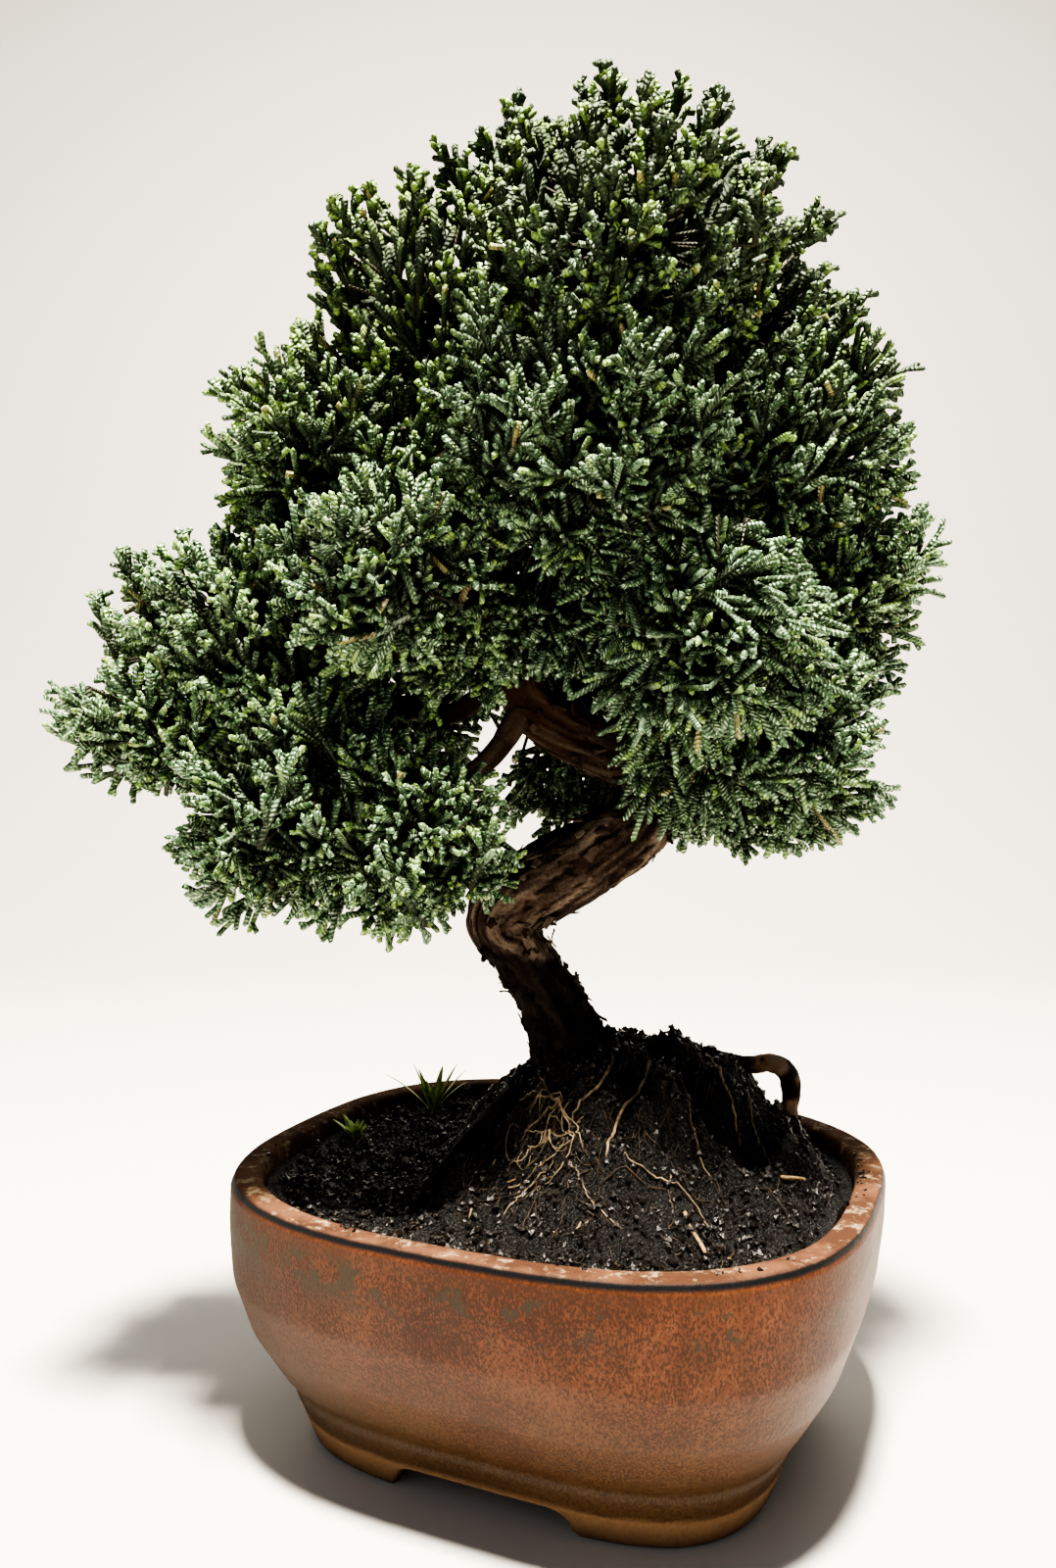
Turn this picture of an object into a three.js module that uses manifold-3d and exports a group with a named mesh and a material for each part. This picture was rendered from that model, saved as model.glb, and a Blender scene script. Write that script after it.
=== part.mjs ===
// Kishu juniper bonsai in its glazed pot. Millimetres, +Z up.
// The pot lies along X. The tree is laid out as seen from its display side, in a front frame
// whose X runs to the viewer's right and Y away from the viewer, turned by FRONT_TURN on the pot.
import * as THREE from 'three';
import { mergeVertices } from 'three/addons/utils/BufferGeometryUtils.js';
import Module from 'manifold-3d';

const wasm = await Module();
wasm.setup();

// Driving dimensions
const GAP = 0.45;
const FRONT_TURN = THREE.MathUtils.degToRad(23.5);

const POT = {
  halfLength: 105,
  halfWidth: 92,
  height: 85,
  rimExponent: 2.75,
  footExponent: 3.6,
  sides: 32,
  rimWidth: 8.5,
  undersideZ: 11,
  floorZ: 19.5,
  footThickness: 10,
  archHeight: 8.5,
  archCorner: 7,
  longArchHalf: 29,
  shortArchHalf: 21,
  drainRadius: 7,
  drainOffset: 42,
};
// Each step of the outer wall: how far in from the rim line, and its height.
const POT_OUTER = [
  [28.5, 0], [24.7, 10], [21.6, 17], [22.2, 18.6], [17.5, 24], [9, 38],
  [2.8, 55], [0.5, 72], [0, 82], [1, POT.height],
];
const POT_INNER = [[9.6, 82], [10.5, 60], [15.5, 40], [25, 26], [36, POT.floorZ]];

const SCREEN = { side: 30, thickness: 1.2, holes: 3, holeSide: 7 };

const SOIL = {
  edgeZ: 79,
  moundHeight: 43,
  moundX: 18,
  moundY: 2,
  plateau: 0.2,
  reachLeft: 66,
  reachRight: 98,
  reachFront: 80,
  reachBack: 66,
  shoulderX: 79,
  shoulderWidth: 13,
  topRings: 7,
};

// Trunk centre line in the front frame, with the radius at each point.
const TRUNK = [
  [9, 4, 74, 12], [7.5, 4, 98, 16.5], [5.8, 4, 111, 15.6], [2.8, 4, 122, 13], [-4.6, 4, 139, 11.2],
  [-14.5, 2, 155, 10.5], [-20.5, -3, 166, 12], [-14.5, -6, 174, 13.2], [-4.6, -8, 180, 13.4],
  [11.9, -8, 189.6, 13.4], [23.7, -4, 198, 12.6], [28.7, 2, 208, 11.4], [24.8, 7, 218, 10.4],
  [12.9, 9, 225, 9.6], [-0.2, 8, 231, 9], [-10, 6, 238.6, 8.6], [-14, 5, 249, 8],
  [-12, 5, 263, 7.4], [-7, 4, 278, 6.8], [-1, 3, 298, 6.2], [6.4, 2, 330, 5.3],
  [14, 2, 364, 4.2], [20, 3, 395, 3.1], [23, 4, 417, 2.2],
];
const TRUNK_SIDES = 8;
const TRUNK_STEPS = 28;

// Surface roots: points with radii, in the front frame.
const ROOTS = {
  arching: [
    [10, 5, 108, 8], [20, 6, 117.5, 7], [37, 7, 119.5, 5.4], [50, 8, 116, 4], [60, 7, 114.5, 3],
    [69, 4, 114.8, 2.8], [74.5, 2, 114.8, 3.2], [77.8, -1, 111, 3.2], [77.5, -3, 104.5, 2.9],
    [77.5, -3, 98, 2.5], [75, -3, 88, 1.8],
  ],
  leftFront: [[4, 0, 106, 8], [-14, -8, 109, 6], [-28, -17, 100, 4.4], [-40, -26, 89, 3], [-47, -31, 78, 2]],
  front: [[8, 0, 106, 8], [14, -16, 112.5, 4.6], [12, -32, 104, 3.4], [6, -46, 93, 2.6], [2, -54, 82, 2]],
  rightFront: [[14, 2, 108, 8], [32, -9, 113, 4.6], [44, -22, 105, 3.4], [54, -34, 94, 2.6], [58, -40, 82, 2]],
  backLeft: [[4, 10, 106, 8], [-10, 22, 108, 5.4], [-24, 34, 96, 3.8], [-34, 42, 80, 2.4]],
  backRight: [[14, 12, 108, 8], [30, 26, 109, 5], [44, 38, 97, 3.6], [54, 46, 80, 2.4]],
};
const ROOT_SIDES = 6;

// Foliage pads in the front frame. reach is the half size out to the shoot tips, and fork is the
// height on the trunk, or the pad whose limb it shares, where its limb leaves.
const PADS = {
  crown: { centre: [19, 0, 403], reach: [60, 50, 47], fork: 380 },
  top_left: { centre: [-42, 0, 372], reach: [54, 50, 50], fork: 350 },
  top_right: { centre: [58, 4, 370], reach: [48, 50, 50], fork: 345 },
  top_front: { centre: [20, -40, 378], reach: [50, 42, 44], fork: 338 },
  top_back: { centre: [16, 42, 378], reach: [52, 44, 46], fork: 332 },
  left_middle: { centre: [-76, -6, 326], reach: [46, 46, 42], fork: 300 },
  right_middle: { centre: [78, -2, 324], reach: [47, 48, 44], fork: 294 },
  front_middle: { centre: [6, -47, 322], reach: [52, 37, 50], fork: 284 },
  back_left: { centre: [-46, 50, 318], reach: [50, 46, 46], fork: 278 },
  back_right: { centre: [54, 52, 312], reach: [52, 46, 48], fork: 272 },
  left_inner: { centre: [-58, -42, 276], reach: [40, 36, 36], fork: 264 },
  left_branch: { centre: [-108, -4, 262], reach: [50, 46, 41], fork: 256, bend: [-50, 0, 262] },
  left_tip: { centre: [-134, -8, 233], reach: [37, 38, 27], fork: 'left_branch' },
  left_hanging: { centre: [-85, -22, 205], reach: [46, 44, 44], fork: 241, bend: [-30, -6, 216] },
  left_front: { centre: [-50, -34, 196], reach: [38, 36, 38], fork: 'left_hanging' },
  left_back: { centre: [-72, 42, 238], reach: [46, 40, 42], fork: 251 },
  right_lower: { centre: [72, -6, 228], reach: [46, 44, 44], fork: 209, bend: [52, -6, 214] },
  right_front: { centre: [46, -46, 254], reach: [40, 36, 42], fork: 268 },
  right_tip: { centre: [96, 6, 282], reach: [38, 40, 36], fork: 'right_middle' },
  back_low: { centre: [0, 58, 268], reach: [46, 38, 38], fork: 234 },
  back_right_low: { centre: [62, 44, 234], reach: [44, 38, 40], fork: 221 },
};
const SHOOT_DEPTH = 19;
const CORE_GAP = 1.2;
const CORE_ROUGHNESS = 0.14;
const LIMB_SIDES = 5;
const LIMB_STEPS = 4;
const LIMB_START_RADIUS = 4.6;
const LIMB_END_RADIUS = 1.5;
const LIMB_SAG = 8;

// A spray is a fan of six three-sided cords, all scale-leaved shoots, on one root of the core.
const SPRAY = {
  cords: 6,
  rootRadius: 3,
  cordRadius: 1.6,
  spacing: 0.7,
  exposed: 0.86,
  upright: 0.3,
  spread: 0.85,
  rise: 0.3,
  scatter: 0.16,
  longest: 30,
  shortest: 4,
  tries: 9,
  clearance: 0.4,
};

const WEEDS = {
  weed_back: { at: [-50, 70], blades: 5, length: 24 },
  weed_left: { at: [-76, 34], blades: 4, length: 11 },
};
const STRAWS = {
  straw_front: { at: [36, -66], turn: 1.9, length: 13 },
  straw_right: { at: [70, -40], turn: 0.4, length: 9 },
};

// Seeded random numbers from 0 to 1
function randomSource(seed) {
  let state = seed;
  return () => {
    state = (state + 0x6d2b79f5) | 0;
    let mixed = Math.imul(state ^ (state >>> 15), 1 | state);
    mixed = (mixed + Math.imul(mixed ^ (mixed >>> 7), 61 | mixed)) ^ mixed;
    return ((mixed ^ (mixed >>> 14)) >>> 0) / 4294967296;
  };
}

// Closed geometry to a solid, and back
function toSolid(geometry) {
  const bare = geometry.clone();
  bare.deleteAttribute('normal');
  bare.deleteAttribute('uv');
  const merged = mergeVertices(bare, 1e-4);
  return new wasm.Manifold(new wasm.Mesh({
    numProp: 3,
    vertProperties: new Float32Array(merged.attributes.position.array),
    triVerts: new Uint32Array(merged.index.array),
  }));
}

function toGeometry(solid) {
  const mesh = solid.getMesh();
  const geometry = new THREE.BufferGeometry();
  geometry.setAttribute('position', new THREE.BufferAttribute(mesh.vertProperties, 3));
  geometry.setIndex(new THREE.BufferAttribute(mesh.triVerts, 1));
  geometry.computeVertexNormals();
  return geometry;
}

// The largest connected body of a solid, with loose scraps left behind
function largestBody(solid) {
  const bodies = solid.decompose();
  return bodies.reduce((best, body) => (body.volume() > best.volume() ? body : best));
}

// Closed skin through rings of equal length, with a flat fan over each end
function loft(rings) {
  const count = rings[0].length;
  const points = rings.flat();
  const faces = [];
  for (let ring = 0; ring < rings.length - 1; ring += 1) {
    for (let side = 0; side < count; side += 1) {
      const next = (side + 1) % count;
      const low = ring * count;
      const high = low + count;
      faces.push(low + side, low + next, high + next, low + side, high + next, high + side);
    }
  }
  const last = (rings.length - 1) * count;
  for (let side = 1; side < count - 1; side += 1) {
    faces.push(0, side + 1, side, last, last + side, last + side + 1);
  }
  const geometry = new THREE.BufferGeometry().setFromPoints(points);
  geometry.setIndex(faces);
  return geometry;
}

// Rounded-rectangle ring of the pot, a superellipse that squares up towards the foot
function potRing(inset, z) {
  const exponent = THREE.MathUtils.lerp(POT.footExponent, POT.rimExponent, z / POT.height);
  const halfX = POT.halfLength - inset;
  const halfY = POT.halfWidth - inset;
  return Array.from({ length: POT.sides }, (_, side) => {
    const angle = (2 * Math.PI * side) / POT.sides;
    const across = Math.abs(Math.cos(angle) / halfX) ** exponent;
    const along = Math.abs(Math.sin(angle) / halfY) ** exponent;
    const radius = (across + along) ** (-1 / exponent);
    return new THREE.Vector3(radius * Math.cos(angle), radius * Math.sin(angle), z);
  });
}

// Tube of changing radius along points given as x, y, z, radius; extra widens and lengthens it
function taperedTube(points, sides, steps, extra = 0, flute = 0) {
  const path = new THREE.CatmullRomCurve3(points.map(([x, y, z]) => new THREE.Vector3(x, y, z)));
  const frames = path.computeFrenetFrames(steps, false);
  const rings = [];
  for (let step = 0; step <= steps; step += 1) {
    const at = path.getUtoTmapping(step / steps);
    const centre = path.getPoint(at);
    if (step === 0) centre.addScaledVector(frames.tangents[0], -extra);
    if (step === steps) centre.addScaledVector(frames.tangents[steps], extra);
    const place = at * (points.length - 1);
    const before = Math.min(Math.floor(place), points.length - 2);
    const radius = THREE.MathUtils.lerp(points[before][3], points[before + 1][3], place - before);
    rings.push(Array.from({ length: sides }, (_, side) => {
      const angle = (2 * Math.PI * side) / sides;
      const swell = 1 + flute * Math.cos(3 * angle + 0.5 * step);
      const reach = radius * swell + extra;
      return centre.clone()
        .addScaledVector(frames.normals[step], reach * Math.cos(angle))
        .addScaledVector(frames.binormals[step], reach * Math.sin(angle));
    }));
  }
  return loft(rings);
}

// Point on the trunk's centre line at a height, with the radius there
function trunkAt(height) {
  const above = TRUNK.findIndex((point) => point[2] > height);
  const low = TRUNK[above - 1];
  const high = TRUNK[above];
  const share = (height - low[2]) / (high[2] - low[2]);
  return low.map((value, axis) => THREE.MathUtils.lerp(value, high[axis], share));
}

// Height of the soil at a place in the front frame
function soilHeight(x, y) {
  const dx = x - SOIL.moundX;
  const dy = y - SOIL.moundY;
  const acrossReach = dx < 0 ? SOIL.reachLeft : SOIL.reachRight;
  const alongReach = dy < 0 ? SOIL.reachFront : SOIL.reachBack;
  const spread = Math.hypot(dx / acrossReach, dy / alongReach);
  const mound = 1 - THREE.MathUtils.smoothstep(spread, SOIL.plateau, 1);
  const edge = SOIL.shoulderX;
  const shoulder = 1 - THREE.MathUtils.smoothstep(x, edge, edge + SOIL.shoulderWidth);
  return SOIL.edgeZ + SOIL.moundHeight * mound * shoulder;
}

// Box with its centre at a place
function box(width, depth, height, x, y, z) {
  return new THREE.BoxGeometry(width, depth, height).translate(x, y, z);
}

// Pot: one fired body with rim, plinth and four corner feet, and two drain holes
function makePot() {
  const rim = [POT.rimWidth, POT.height];
  const foot = POT_OUTER[0][0] + POT.footThickness;
  const steps = [[foot, POT.undersideZ], [foot, 0], ...POT_OUTER, rim, ...POT_INNER];
  let pot = toSolid(loft(steps.map(([inset, z]) => potRing(inset, z))));
  pot = pot.subtract(toSolid(footArch(POT.longArchHalf, 0)));
  pot = pot.subtract(toSolid(footArch(POT.shortArchHalf, Math.PI / 2)));
  for (const side of [-1, 1]) {
    const drain = new THREE.CylinderGeometry(POT.drainRadius, POT.drainRadius, POT.floorZ, 14);
    drain.rotateX(Math.PI / 2);
    drain.translate(side * POT.drainOffset, 0, POT.floorZ - 3);
    pot = pot.subtract(toSolid(drain));
  }
  return pot;
}

// Tunnel with rounded shoulders under the pot, between two feet and out of both sides
function footArch(half, turn) {
  const top = POT.archHeight;
  const corner = POT.archCorner;
  const outline = new THREE.Shape();
  outline.moveTo(-half, -1);
  outline.lineTo(half, -1);
  outline.lineTo(half, 0.5);
  outline.quadraticCurveTo(half - 1, top, half - corner, top);
  outline.lineTo(corner - half, top);
  outline.quadraticCurveTo(1 - half, top, -half, 0.5);
  const length = 2 * POT.halfLength;
  const tunnel = new THREE.ExtrudeGeometry(outline, {
    depth: length, steps: 1, bevelEnabled: false, curveSegments: 4,
  });
  return tunnel.translate(0, 0, -length / 2).rotateX(Math.PI / 2).rotateZ(turn);
}

// Square of plastic netting over a drain hole
function makeScreen(side) {
  const middleX = side * POT.drainOffset;
  const middleZ = POT.floorZ + GAP + SCREEN.thickness / 2;
  const pitch = SCREEN.side / SCREEN.holes;
  let netting = toSolid(box(SCREEN.side, SCREEN.side, SCREEN.thickness, middleX, 0, middleZ));
  for (let row = 0; row < SCREEN.holes; row += 1) {
    for (let column = 0; column < SCREEN.holes; column += 1) {
      const x = middleX + (column + 0.5) * pitch - SCREEN.side / 2;
      const y = (row + 0.5) * pitch - SCREEN.side / 2;
      const mesh = box(SCREEN.holeSide, SCREEN.holeSide, 3 * SCREEN.thickness, x, y, middleZ);
      netting = netting.subtract(toSolid(mesh));
    }
  }
  return netting;
}

// Control points of every limb, from the trunk to the middle of its pad
function limbPoints() {
  const limbs = {};
  for (const [name, pad] of Object.entries(PADS)) {
    const shared = limbs[pad.fork];
    const start = shared ? shared[shared.length - 2] : trunkAt(pad.fork);
    const radius = shared ? start[3] : Math.min(LIMB_START_RADIUS, 0.75 * start[3]);
    const middle = pad.bend ?? start.slice(0, 3).map((value, axis) => (
      THREE.MathUtils.lerp(value, pad.centre[axis], 0.5) - (axis === 2 ? LIMB_SAG : 0)
    ));
    const end = pad.centre;
    limbs[name] = [
      [...start.slice(0, 3), radius],
      [...middle, THREE.MathUtils.lerp(radius, LIMB_END_RADIUS, 0.4)],
      [...end, LIMB_END_RADIUS],
    ];
  }
  return limbs;
}

const LIMBS = limbPoints();

// Wood: trunk, limbs and roots grown together; extra makes the plain hole that it stands in
function makeWood(extra = 0) {
  const flute = 0.07;
  const tubes = [taperedTube(TRUNK, TRUNK_SIDES, TRUNK_STEPS, extra, flute)];
  for (const limb of Object.values(LIMBS)) tubes.push(taperedTube(limb, LIMB_SIDES, LIMB_STEPS, extra));
  for (const root of Object.values(ROOTS)) {
    tubes.push(taperedTube(root, ROOT_SIDES, root.length + 1, extra, flute));
  }
  return tubes.map(toSolid).reduce((wood, tube) => wood.add(tube));
}

// Soil: fills the pot and rises to the root mound, with a hole for all that stands in it
function makeSoil(cutters) {
  const wall = [...POT_INNER].reverse().map(([inset, z]) => [inset + 0.7, z + GAP]);
  wall[wall.length - 1] = [wall[wall.length - 1][0], SOIL.edgeZ];
  const rings = wall.map(([inset, z]) => potRing(inset, z));
  const brim = rings[rings.length - 1];
  const axis = new THREE.Vector3(0, 0, 1);
  for (let ring = 1; ring < SOIL.topRings; ring += 1) {
    rings.push(brim.map((point) => {
      const place = point.clone().multiplyScalar(1 - ring / SOIL.topRings);
      const seen = place.clone().applyAxisAngle(axis, -FRONT_TURN);
      return place.setZ(soilHeight(seen.x, seen.y));
    }));
  }
  let soil = toSolid(loft(rings));
  for (const cutter of cutters) soil = soil.subtract(cutter);
  return largestBody(soil);
}

// Turns a solid from the front frame into the pot's frame
function onPot(solid) {
  return solid.rotate([0, 0, THREE.MathUtils.radToDeg(FRONT_TURN)]);
}

// Pads as ellipsoid cores, the shoots' depth smaller than the reach
const CORES = Object.values(PADS).map((pad) => ({
  centre: new THREE.Vector3(...pad.centre),
  halves: pad.reach.map((half) => half - SHOOT_DEPTH),
  size: Math.cbrt(pad.reach[0] * pad.reach[1] * pad.reach[2]),
}));

// How far a point is past the plane that parts one pad from another
function pastPlane(point, pad, other) {
  const between = CORES[other].centre.clone().sub(CORES[pad].centre);
  const share = CORES[pad].size / (CORES[pad].size + CORES[other].size);
  return point.clone().sub(CORES[pad].centre).dot(between) / between.length() - share * between.length();
}

// Distance from a core's centre to its own surface in a direction
function ellipsoidReach(halves, direction) {
  return 1 / Math.hypot(...halves.map((half, axis) => direction.getComponent(axis) / half));
}

// Distance to the core's surface in a direction, held back behind every parting plane
function coreReach(pad, direction) {
  const free = ellipsoidReach(CORES[pad].halves, direction);
  return CORES.reduce((reach, core, other) => {
    if (other === pad) return reach;
    const ahead = CORES[pad].centre.clone().addScaledVector(direction, 1);
    const start = pastPlane(CORES[pad].centre, pad, other);
    const slope = pastPlane(ahead, pad, other) - start;
    return slope > 0 ? Math.min(reach, (-start - CORE_GAP / 2) / slope) : reach;
  }, free);
}

// Rough core in the middle of a pad, for its dense inner twigs: its points and its faces
function coreFaces(pad, random) {
  const ball = new THREE.IcosahedronGeometry(1, 1);
  ball.deleteAttribute('normal');
  ball.deleteAttribute('uv');
  const merged = mergeVertices(ball);
  const positions = merged.attributes.position;
  const points = Array.from({ length: positions.count }, (_, index) => {
    const direction = new THREE.Vector3().fromBufferAttribute(positions, index).normalize();
    const reach = coreReach(pad, direction) * (1 - CORE_ROUGHNESS * random());
    return CORES[pad].centre.clone().addScaledVector(direction, reach);
  });
  const order = merged.index.array;
  const faces = Array.from({ length: order.length / 3 }, (_, face) => (
    [order[3 * face], order[3 * face + 1], order[3 * face + 2]]
  ));
  return { points, faces };
}

// Shortest distance between two straight stretches
function stretchDistance(a, b) {
  const u = a.end.clone().sub(a.start);
  const v = b.end.clone().sub(b.start);
  const w = a.start.clone().sub(b.start);
  const uu = u.dot(u);
  const uv = u.dot(v);
  const vv = v.dot(v);
  const uw = u.dot(w);
  const vw = v.dot(w);
  const denominator = uu * vv - uv * uv;
  let s = denominator > 1e-9 ? THREE.MathUtils.clamp((uv * vw - vv * uw) / denominator, 0, 1) : 0;
  const t = THREE.MathUtils.clamp((uv * s + vw) / vv, 0, 1);
  s = THREE.MathUtils.clamp((uv * t - uw) / uu, 0, 1);
  return w.addScaledVector(u, s).addScaledVector(v, -t).length();
}

// Stretches of wood that a shoot has to stay clear of
function woodStretches() {
  const routes = [TRUNK, ...Object.values(LIMBS)];
  return routes.flatMap((route) => {
    const path = new THREE.CatmullRomCurve3(route.map(([x, y, z]) => new THREE.Vector3(x, y, z)));
    const count = 3 * (route.length - 1);
    const places = path.getPoints(count);
    return places.slice(1).map((end, index) => {
      const radius = route[Math.floor(index / 3)][3];
      return { start: places[index], end, radius: radius * 1.08 };
    });
  });
}

const WOOD_STRETCHES = woodStretches();

// Whether a point of one pad's cord comes near the core of another pad
function nearCore(point, pad, other) {
  const margin = SPRAY.cordRadius + CORE_GAP;
  if (pastPlane(point, pad, other) < -margin) return false;
  const { centre, halves } = CORES[other];
  const scaled = halves.map((half, axis) => (
    (point.getComponent(axis) - centre.getComponent(axis)) / (half + margin)
  ));
  return Math.hypot(...scaled) < 1;
}

// Whether a cord keeps clear of the wood, of every other pad's core and of all other sprays
function cordIsClear(cord, placed) {
  const samples = [0, 0.2, 0.4, 0.6, 0.8, 1].map((share) => cord.start.clone().lerp(cord.end, share));
  const meetsCore = CORES.some((core, other) => (
    other !== cord.pad && samples.some((point) => nearCore(point, cord.pad, other))
  ));
  if (meetsCore) return false;
  const tooNear = (other) => (
    stretchDistance(cord, other) < cord.radius + other.radius + SPRAY.clearance
  );
  if (WOOD_STRETCHES.some(tooNear)) return false;
  return !placed.some((other) => other.spray !== cord.spray && tooNear(other));
}

// Random direction with each component between -1 and 1
function scatterVector(random) {
  return new THREE.Vector3(random() - 0.5, random() - 0.5, random() - 0.5).multiplyScalar(2);
}

// Distance from a point inside a pad to the pad's reach, in a direction
function reachFrom(point, pad, direction) {
  const { centre } = CORES[pad];
  const halves = Object.values(PADS)[pad].reach;
  const from = halves.map((half, axis) => (point.getComponent(axis) - centre.getComponent(axis)) / half);
  const step = halves.map((half, axis) => direction.getComponent(axis) / half);
  const a = step.reduce((sum, value) => sum + value * value, 0);
  const b = step.reduce((sum, value, axis) => sum + value * from[axis], 0);
  const c = from.reduce((sum, value) => sum + value * value, -1);
  return (-b + Math.sqrt(Math.max(b * b - a * c, 0))) / a;
}

// One cord of a spray, bent clear of its neighbours, or else shorter
function growCord(pad, spray, start, aim, random, placed) {
  let share = 1;
  for (let attempt = 0; attempt < SPRAY.tries; attempt += 1) {
    const direction = aim.clone().addScaledVector(scatterVector(random), SPRAY.scatter).normalize();
    const length = Math.min(SPRAY.longest, reachFrom(start, pad, direction)) * (0.85 + 0.15 * random());
    const end = start.clone().addScaledVector(direction, Math.max(SPRAY.shortest, share * length));
    const cord = { start, end, radius: SPRAY.cordRadius, pad, spray };
    if (cordIsClear(cord, placed)) return cord;
    share *= 0.86;
  }
  return null;
}

// Whether a face of the core is bare to the outside and far enough from the sprays so far
function takesSpray(pad, middle, roots) {
  const outward = middle.clone().sub(CORES[pad].centre).normalize();
  const free = ellipsoidReach(CORES[pad].halves, outward);
  if (coreReach(pad, outward) < free * SPRAY.exposed) return false;
  return roots.every((root) => root.angleTo(outward) > SPRAY.spacing);
}

// Core whose chosen faces carry sprays: each face opens round a six-sided root, and each side
// of the root rises to the tip of one cord
function growPad(pad, random, placed) {
  const { points, faces } = coreFaces(pad, random);
  const skin = [];
  const roots = [];
  faces.forEach(([a, b, c], face) => {
    const middle = points[a].clone().add(points[b]).add(points[c]).divideScalar(3);
    if (!takesSpray(pad, middle, roots)) {
      skin.push(a, b, c);
      return;
    }
    roots.push(middle.clone().sub(CORES[pad].centre).normalize());
    const normal = points[b].clone().sub(points[a]).cross(points[c].clone().sub(points[a])).normalize();
    const right = points[a].clone().sub(middle).normalize();
    const up = normal.clone().cross(right);
    const hub = points.push(middle.clone().addScaledVector(normal, 0.6)) - 1;
    const ring = Array.from({ length: SPRAY.cords }, (_, side) => {
      const angle = (2 * Math.PI * side) / SPRAY.cords;
      return points.push(middle.clone()
        .addScaledVector(normal, 0.6)
        .addScaledVector(right, SPRAY.rootRadius * Math.cos(angle))
        .addScaledVector(up, SPRAY.rootRadius * Math.sin(angle))) - 1;
    });
    [[a, b, 0], [b, c, 2], [c, a, 4]].forEach(([from, to, side]) => {
      const [near, mid, far] = [ring[side], ring[side + 1], ring[(side + 2) % SPRAY.cords]];
      skin.push(from, to, mid, from, mid, near, to, far, mid);
    });
    const lift = new THREE.Vector3(0, 0, SPRAY.rise);
    for (let side = 0; side < SPRAY.cords; side += 1) {
      const [here, next] = [ring[side], ring[(side + 1) % SPRAY.cords]];
      const start = points[hub].clone().add(points[here]).add(points[next]).divideScalar(3);
      const outward = start.clone().sub(points[hub]).normalize();
      const lean = side % 2 ? SPRAY.spread : SPRAY.upright;
      const aim = normal.clone().addScaledVector(outward, lean).add(lift);
      const cord = growCord(pad, `${pad}/${face}`, start, aim, random, placed);
      if (cord) {
        placed.push(cord);
        const tip = points.push(cord.end) - 1;
        skin.push(hub, here, tip, here, next, tip, next, hub, tip);
      } else {
        skin.push(hub, here, next);
      }
    }
  });
  const body = new THREE.BufferGeometry().setFromPoints(points);
  body.setIndex(skin);
  return toSolid(body);
}

// Three-sided cord that thins to its tip
function cordSolid({ start, end, radius }) {
  const along = end.clone().sub(start).normalize();
  const helper = new THREE.Vector3(...(Math.abs(along.z) > 0.8 ? [1, 0, 0] : [0, 0, 1]));
  const right = helper.cross(along).normalize();
  const up = along.clone().cross(right);
  const corners = [0, 1, 2].map((corner) => {
    const angle = (2 * Math.PI * corner) / 3;
    return start.clone()
      .addScaledVector(right, radius * Math.cos(angle))
      .addScaledVector(up, radius * Math.sin(angle));
  });
  const cord = new THREE.BufferGeometry().setFromPoints([...corners, end]);
  cord.setIndex([0, 2, 1, 0, 1, 3, 1, 2, 3, 2, 0, 3]);
  return toSolid(cord);
}

// Foliage pads, with a plain hole for the limb
function makePads(woodHole) {
  const random = randomSource(21);
  const placed = [];
  return CORES.map((core, pad) => largestBody(growPad(pad, random, placed).subtract(woodHole)));
}

// Small weed: a slim stem with narrow leaves round it, rooted in the soil
function makeWeed({ at, blades, length }, seed, extra = 0) {
  const random = randomSource(seed);
  const [x, y] = at;
  const ground = soilHeight(x, y);
  const stem = [[x, y, ground - 5, 1.1], [x, y, ground + 2.5, 1.1], [x, y, ground + 6, 0.7]];
  let weed = toSolid(taperedTube(stem, 4, 2, extra));
  if (extra > 0) return weed;
  const foot = new THREE.Vector3(x, y, ground + 2);
  for (let blade = 0; blade < blades; blade += 1) {
    const angle = (2 * Math.PI * (blade + 0.5 * random())) / blades;
    const lean = 0.5 + 0.5 * random();
    const aim = new THREE.Vector3(Math.cos(angle) * lean, Math.sin(angle) * lean, 1).normalize();
    const end = foot.clone().addScaledVector(aim, length * (0.75 + 0.25 * random()));
    weed = weed.add(cordSolid({ start: foot, end, radius: 1 }));
  }
  return weed;
}

// Bit of straw lying in a shallow groove of the soil
function makeStraw({ at, turn, length }, extra = 0) {
  const [x, y] = at;
  const reach = length / 2;
  const ends = [-1, 0, 1].map((side) => {
    const endX = x + side * reach * Math.cos(turn);
    const endY = y + side * reach * Math.sin(turn);
    return [endX, endY, soilHeight(endX, endY) + 0.4, 0.9];
  });
  return toSolid(taperedTube(ends, 4, 2, extra));
}

const FINISHES = {
  pot: { color: 0x9a5a35, roughness: 0.32, metalness: 0 },
  screen: { color: 0x2c3230, roughness: 0.7, metalness: 0 },
  soil: { color: 0x1f1813, roughness: 0.95, metalness: 0 },
  wood: { color: 0x8b6c55, roughness: 0.9, metalness: 0 },
  foliage: { color: 0x39592f, roughness: 0.6, metalness: 0 },
  weed: { color: 0x7f9a3c, roughness: 0.7, metalness: 0 },
  straw: { color: 0xb79a6a, roughness: 0.85, metalness: 0 },
};

const bonsai = new THREE.Group();
const tree = new THREE.Group();
tree.rotation.z = FRONT_TURN;
bonsai.add(tree);

function addPiece(parent, name, solid, finish) {
  const mesh = new THREE.Mesh(toGeometry(solid), new THREE.MeshStandardMaterial(FINISHES[finish]));
  mesh.name = name;
  parent.add(mesh);
}

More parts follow.
